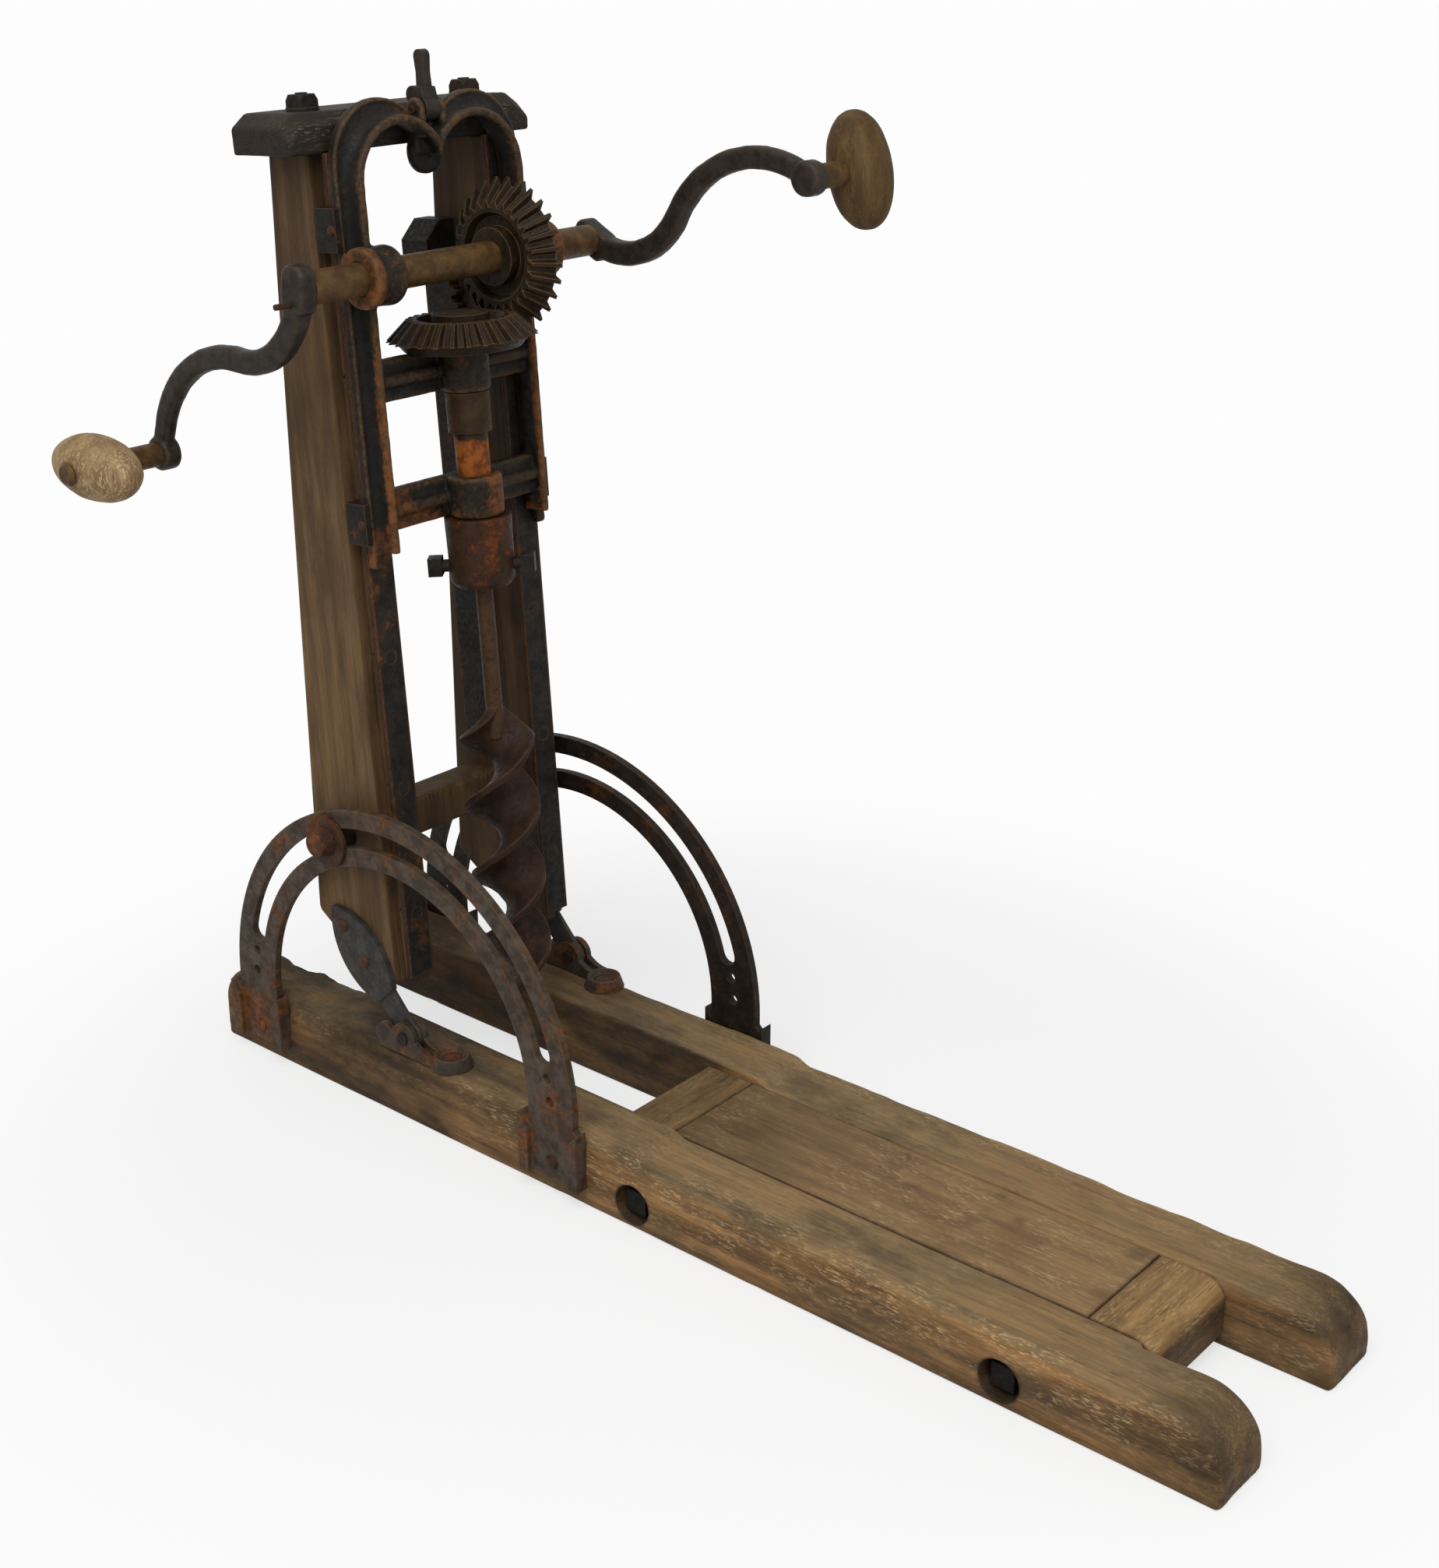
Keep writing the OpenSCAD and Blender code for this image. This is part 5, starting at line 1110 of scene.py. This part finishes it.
        bead_a = np.broadcast_to(bead_r + bead_r * np.cos(bead), (len(width), len(bead)))
        cove_a = 2 * bead_r + np.maximum(width - 9, 0.3)[:, None] * (1 - np.cos(bend))
        lip_a = width[:, None] - lip_r + lip_r * np.cos(lip)
        rear_a = np.stack([width, width - 1, np.full(len(width), 1.0), np.zeros(len(width))], axis=-1)
        a = np.concatenate([bead_a, cove_a, lip_a, rear_a], axis=1)
        y = np.concatenate([self.front + bead_r - bead_r * np.sin(bead),
                            self.front + 5 + (self.plate - self.front - 4.5) * np.sin(bend),
                            self.plate + 1.2 - 1.4 * np.sin(lip),
                            [self.back - 1, self.back, self.back, self.back - 1]])
        share = (a / width[:, None])[..., None]
        flat = inner[:, None] * (1 - share) + outer[:, None] * share
        x = side * np.maximum(flat[..., 0], cusp)
        return loft(np.stack([x, np.broadcast_to(y, x.shape), flat[..., 1]], axis=-1), rings=5)

    def foot(self, side):
        """The stepped foot below the web."""
        low = self.shaft_z - self.foot_down
        high = low + 16
        step = self.leg_out - 8
        corners = [(step, low), (self.leg_out, low), (self.leg_out, high), (step, high)]
        shell = slab(corners, self.plate, self.back, 1.5, 1.5)
        return placed(shell, lambda p: p[:, [0, 2, 1]] * np.array([side, 1, 1]))

    def bearing(self, side):
        """A crank bearing: a boss along the shaft with a raised ring at its outer end."""
        inner, outer = 59.5, 87.5
        corners = [(0, inner), (18.5, inner), (20, 63), (18.8, 78), (20.5, 82), (20, outer), (0, outer)]
        profile = smooth_profile(corners, 2)
        return placed(revolve(profile, 72), lambda p: self.across(p) * np.array([side, 1, 1]))

    def lug(self, side, latch):
        """A latch lug: a round end on a square foot."""
        radius = 8
        down = 18
        turn = np.linspace(0.0, math.pi, 9)
        corners = [(latch[1] + radius * math.cos(t), latch[2] + radius * math.sin(t)) for t in turn]
        corners += [(latch[1] - radius, latch[2] - down), (latch[1] + radius, latch[2] - down)]
        shell = slab(corners, 6.9, 11.9, 1.0, 1.2, 2)
        return placed(shell, lambda p: p[:, [2, 0, 1]] * np.array([side, 1, 1]))

    def valley(self):
        """The plate between the two arches."""
        low = self.shaft_z + self.valley_up
        high = low + 18
        shell = slab([(-12, low), (12, low), (14, high), (-14, high)], self.plate - 1, self.back, 1.0, 1.5)
        return placed(shell, lambda p: p[:, [0, 2, 1]])

    def pendant(self):
        """The round lobe that hangs behind the valley."""
        centre = np.array([0, 0, self.shaft_z + self.pendant_up])
        return placed(drum(14.5, self.plate + 1, self.back + 1, 3), lambda p: p[:, [0, 2, 1]] + centre)

    def bar(self, z0):
        """A cross-bar's web between the legs."""
        z1 = z0 + self.bar_tall
        corners = [(self.bar_front, z0), (self.bar_back, z0), (self.bar_back, z1), (self.bar_front, z1)]
        half = self.bar_half
        return placed(slab(corners, -half, half, 3.0, 1.0), lambda p: p[:, [2, 0, 1]])

    def rib(self, z0):
        """The half-round rib along the front of a cross-bar."""
        middle = np.array([0, self.bar_front, z0 + self.bar_tall / 2])
        half = self.bar_half
        return placed(drum(4.8, -half, half, 1.0, 32), lambda p: p[:, [2, 0, 1]] + middle)

    def pinion_arm(self):
        """The arm behind the upper cross-bar that carries the lifting pinion."""
        pinion = joint_place("pinion_turn") / MM
        edge = upright_box("lift_pinion")[0][0] / MM - 0.4
        radius = 9
        root = 229
        turn = np.linspace(-math.pi / 2, math.pi / 2, 9)
        corners = [(pinion[1] + radius * math.cos(t), pinion[2] + radius * math.sin(t)) for t in turn]
        corners += [(root, pinion[2] + radius), (root, pinion[2] - radius)]
        return placed(slab(corners, edge - 12, edge, 1.0, 1.5, 2), lambda p: p[:, [2, 0, 1]])


class BORING_OT_auger(bpy.types.Operator):
    """Twist the auger's ribbon and its lead screw"""
    bl_idname = "boring.auger"
    bl_label = "Auger"

    def execute(self, context):
        low, high = upright_box("auger_bit")
        axis = joint_place("drill_turn") * np.array([1.0, 1.0, 0.0])
        chuck_z = upright_box("chuck")[0][2]
        tip_z = low[2]
        foot_z = tip_z + 22 * MM
        shoulder_z = chuck_z - 116 * MM
        shell = joined(self.ribbon(axis, foot_z, shoulder_z, (high[0] - low[0]) / 2),
                       placed(self.stem(shoulder_z, chuck_z + 20 * MM), lambda p: p + axis),
                       placed(self.lead(tip_z, foot_z + 6 * MM), lambda p: p + axis))
        piece("twisted_auger_bit", placed(shell, leaned), "drill", "Browned auger steel",
              ["auger_bit"], lambda p: 0.2 * MM * rough(p, 8 * MM, 3, 160))
        return {"FINISHED"}

    def ribbon(self, axis, foot_z, shoulder_z, radius):
        """The twisted ribbon: a flat section with a waist that turns once in each pitch as it climbs.

        Above the shoulder it narrows to the stem."""
        pitch = 110 * MM
        neck = 24 * MM
        start = math.radians(-50) - 2 * math.pi * (shoulder_z - pitch / 2) / pitch
        upper = np.linspace(shoulder_z, shoulder_z + neck, 26)[1:]
        z = np.concatenate([np.linspace(foot_z, shoulder_z, 190), upper])
        above = np.clip((z - shoulder_z) / neck, 0.0, 1.0)
        half = radius * (1 - above) + 6 * MM * above
        half[:6] *= np.linspace(0.94, 1.0, 6)
        thick = (4.6 - 0.4 * above) * MM
        section = ((-1, -1), (0, -0.8), (1, -1), (1, 1), (0, 0.8), (-1, 1))
        corners = corner_rows(len(z), *[(half * a, thick * b) for a, b in section])
        reach = np.array([2.2, 20, 2.2, 2.2, 20, 2.2]) * MM
        loops = rounded_rows(corners, reach, [6, 6, 2, 6, 6, 2], 6)
        angle = (start + 2 * math.pi * z / pitch)[:, None]
        x = axis[0] + loops[..., 0] * np.cos(angle) - loops[..., 1] * np.sin(angle)
        y = axis[1] + loops[..., 0] * np.sin(angle) + loops[..., 1] * np.cos(angle)
        return loft(carried(np.stack([x, y], axis=-1), z, 2), rings=4)

    def stem(self, bottom, top):
        """The round stem from the shoulder into the chuck."""
        radius = 6.25 * MM
        return revolve([(0, bottom), (radius, bottom), (radius, top), (0, top)], 40)

    def lead(self, bottom, top):
        """The lead screw: a cone whose radius swells and shrinks like a thread."""
        turns = np.linspace(0.0, 1.0, 120)
        radius = (1.0 + 4.2 * turns) * MM + 0.7 * MM * np.sin(turns * 26)
        side = np.stack([radius, bottom + (top - bottom) * turns], axis=-1)
        return revolve(np.concatenate([[(0, bottom)], side, [(0, top)]]), 32)


SOLID_FINISHES = {
    "Forged grey iron": ["left_quadrant"],
    # Painted shade: the far quadrant gets a darker copy of the forged iron
    "Blackened forged iron": ["right_quadrant"],
    "Blue-grey strap iron": ["left_strap", "right_strap"],
    "Cast hinge iron": ["left_hinge_bracket", "right_hinge_bracket"],
    "Rolled iron strip": ["left_guide_strip", "right_guide_strip", "lift_rack"],
    "Dark painted cast iron": ["rack_stop", "guide_clips"],
    "Black forged crank iron": ["latch"],
    "Cast gear iron": ["crank_gear", "spindle_gear", "lift_pinion"],
    "Worn shaft steel": ["crank_shaft", "grip_pins", "pinion_axle"],
    "Orange-rusted spindle iron": ["spindle"],
    "Rusted chuck iron": ["chuck"],
    "Rusted bolt iron": ["lock_rod", "lock_nut", "lock_washers", "strap_screws", "quadrant_screws",
                         "bracket_screws", "clip_screws", "drive_pins"],
    # Painted shade: the sunk tie bolts, washers and nuts are made black
    "Sooty sunk iron": ["tie_bolts", "tie_washers", "tie_nuts"],
    "Dark bolt iron": ["hinge_pins", "guide_strip_screws", "cap_bolts", "cap_washers", "cap_nuts",
                       "lock_spacers", "rack_screws", "latch_pin", "chuck_screws"],
}


class BORING_OT_ironwork(bpy.types.Operator):
    """Finish the solids that keep their own shape"""
    bl_idname = "boring.ironwork"
    bl_label = "Ironwork"

    def execute(self, context):
        for finish, nodes in SOLID_FINISHES.items():
            for node in nodes:
                mesh = frame["nodes"][node].data
                mesh.materials.clear()
                mesh.materials.append(material(finish))
        return {"FINISHED"}


# Floor, light and camera

def facing(back, place):
    """A matrix whose Z axis points back, whose X axis is level, and which stands at a place."""
    z = Vector(back).normalized()
    x = Vector((0, 0, 1)).cross(z).normalized()
    turn = Matrix((x, z.cross(x), z)).transposed().to_4x4()
    turn.translation = Vector(place)
    return turn


class BORING_OT_stage(bpy.types.Operator):
    """Set the pale floor, the soft lamps and the camera"""
    bl_idname = "boring.stage"
    bl_label = "Stage"

    def execute(self, context):
        chosen = settings()
        scene = context.scene
        scene.view_settings.view_transform = "Standard"
        self.floor(scene, chosen)
        self.world(scene, chosen)
        self.lamp(scene, "Key lamp", (-1.3, -0.6, 2.2), 1.9, chosen.key_power)
        self.lamp(scene, "Fill lamp", (0.4, -2.6, 1.5), 1.6, chosen.fill_power)
        self.camera(scene)
        return {"FINISHED"}

    def floor(self, scene, chosen):
        """A wide paper floor, dull and even.

        It takes the shadow near the machine and fades to plain white further out."""
        half = 30.0
        corners = [(-half, -half, 0), (half, -half, 0), (half, half, 0), (-half, half, 0)]
        mesh = bpy.data.meshes.new("floor")
        mesh.from_pydata(corners, [], [(0, 1, 2, 3)])
        item = bpy.data.objects.new("floor", mesh)
        scene.collection.objects.link(item)
        paper, tree, shader = blank("White paper floor")
        shader.inputs["Base Color"].default_value = (*chosen.floor_colour, 1.0)
        shader.inputs["Roughness"].default_value = 0.9
        shader.inputs["Specular IOR Level"].default_value = 0.1
        far = add(tree, "VectorMath", [add(tree, "TexCoord", out="Object")], "Value", operation="LENGTH")
        fade = add(tree, "MapRange", [far, 0.3, 0.8, 0.66, 1.0], **RISE)
        rays = [add(tree, "LightPath", out=kind) for kind in ("Is Camera Ray", "Is Glossy Ray")]
        share = add(tree, "Math", [fade, add(tree, "Math", rays, **MOST)], **TIMES)
        white = add(tree, "Emission", {"Color": (1, 1, 1, 1), "Strength": 0.985})
        both = add(tree, "MixShader", [share, shader.outputs[0], white])
        tree.links.new(both, tree.nodes["Material Output"].inputs["Surface"])
        mesh.materials.append(paper)

    def world(self, scene, chosen):
        """Even light on the machine; the camera, mirrors and glass see plain white."""
        sky = bpy.data.worlds.new("Even light")
        sky.use_nodes = True
        scene.world = sky
        tree = sky.node_tree
        clear = [add(tree, "LightPath", out=kind) for kind in ("Is Glossy Ray", "Is Transmission Ray")]
        seen = [add(tree, "LightPath", out="Is Camera Ray"), add(tree, "Math", clear, **MOST)]
        strength = add(tree, "Mix", {0: add(tree, "Math", seen, **MOST), 2: chosen.world_light, 3: 1.0})
        tree.links.new(strength, tree.nodes["Background"].inputs["Strength"])
        tree.nodes["Background"].inputs["Color"].default_value = (1, 1, 1, 1)

    def lamp(self, scene, name, place, size, power):
        """A square soft lamp that points at the middle of the machine."""
        middle = np.array([0.0, 0.1, 0.3])
        lamp = bpy.data.lights.new(name, "AREA")
        lamp.size = size
        lamp.energy = power
        item = bpy.data.objects.new(name, lamp)
        scene.collection.objects.link(item)
        item.matrix_world = facing(np.array(place) - middle, place)

    def camera(self, scene):
        """The camera of the photograph: its place, its angle and its focal length in pixels."""
        lens = bpy.data.cameras.new("Camera")
        lens.sensor_fit = "HORIZONTAL"
        lens.sensor_width = SENSOR_WIDTH
        lens.lens = SENSOR_WIDTH * CAMERA_FOCAL_PIXELS / PHOTO_WIDTH
        lens.clip_start = 0.05
        lens.clip_end = 100.0
        item = bpy.data.objects.new("Camera", lens)
        scene.collection.objects.link(item)
        flat = math.cos(CAMERA_ELEVATION)
        back = (math.sin(CAMERA_AZIMUTH) * flat, -math.cos(CAMERA_AZIMUTH) * flat, math.sin(CAMERA_ELEVATION))
        item.matrix_world = facing(back, CAMERA_PLACE)
        scene.camera = item


# The panel, and the order of the steps

STEPS = (BORING_OT_rails, BORING_OT_seat, BORING_OT_posts, BORING_OT_grips, BORING_OT_crank_arms,
         BORING_OT_carriage, BORING_OT_auger, BORING_OT_ironwork, BORING_OT_stage)


class BORING_PT_panel(bpy.types.Panel):
    """Lists the steps that dress the machine"""
    bl_label = "Boring machine"
    bl_idname = "BORING_PT_panel"
    bl_space_type = "VIEW_3D"
    bl_region_type = "UI"
    bl_category = "Boring machine"

    def draw(self, context):
        for step in STEPS:
            self.layout.operator(step.bl_idname)
        for name in MachineSettings.__annotations__:
            self.layout.prop(settings(), name)


CLASSES = (MachineSettings, *STEPS, BORING_PT_panel)


def register():
    """Adds the settings, the steps and the panel."""
    for item in CLASSES:
        bpy.utils.register_class(item)
    bpy.types.Scene.boring_machine = bpy.props.PointerProperty(type=MachineSettings)


def unregister():
    """Takes them away again."""
    del bpy.types.Scene.boring_machine
    for item in reversed(CLASSES):
        bpy.utils.unregister_class(item)


def main():
    """Dresses the machine step by step."""
    register()
    for step in STEPS:
        group, name = step.bl_idname.split(".")
        getattr(getattr(bpy.ops, group), name)()


if __name__ == "__main__":
    main()
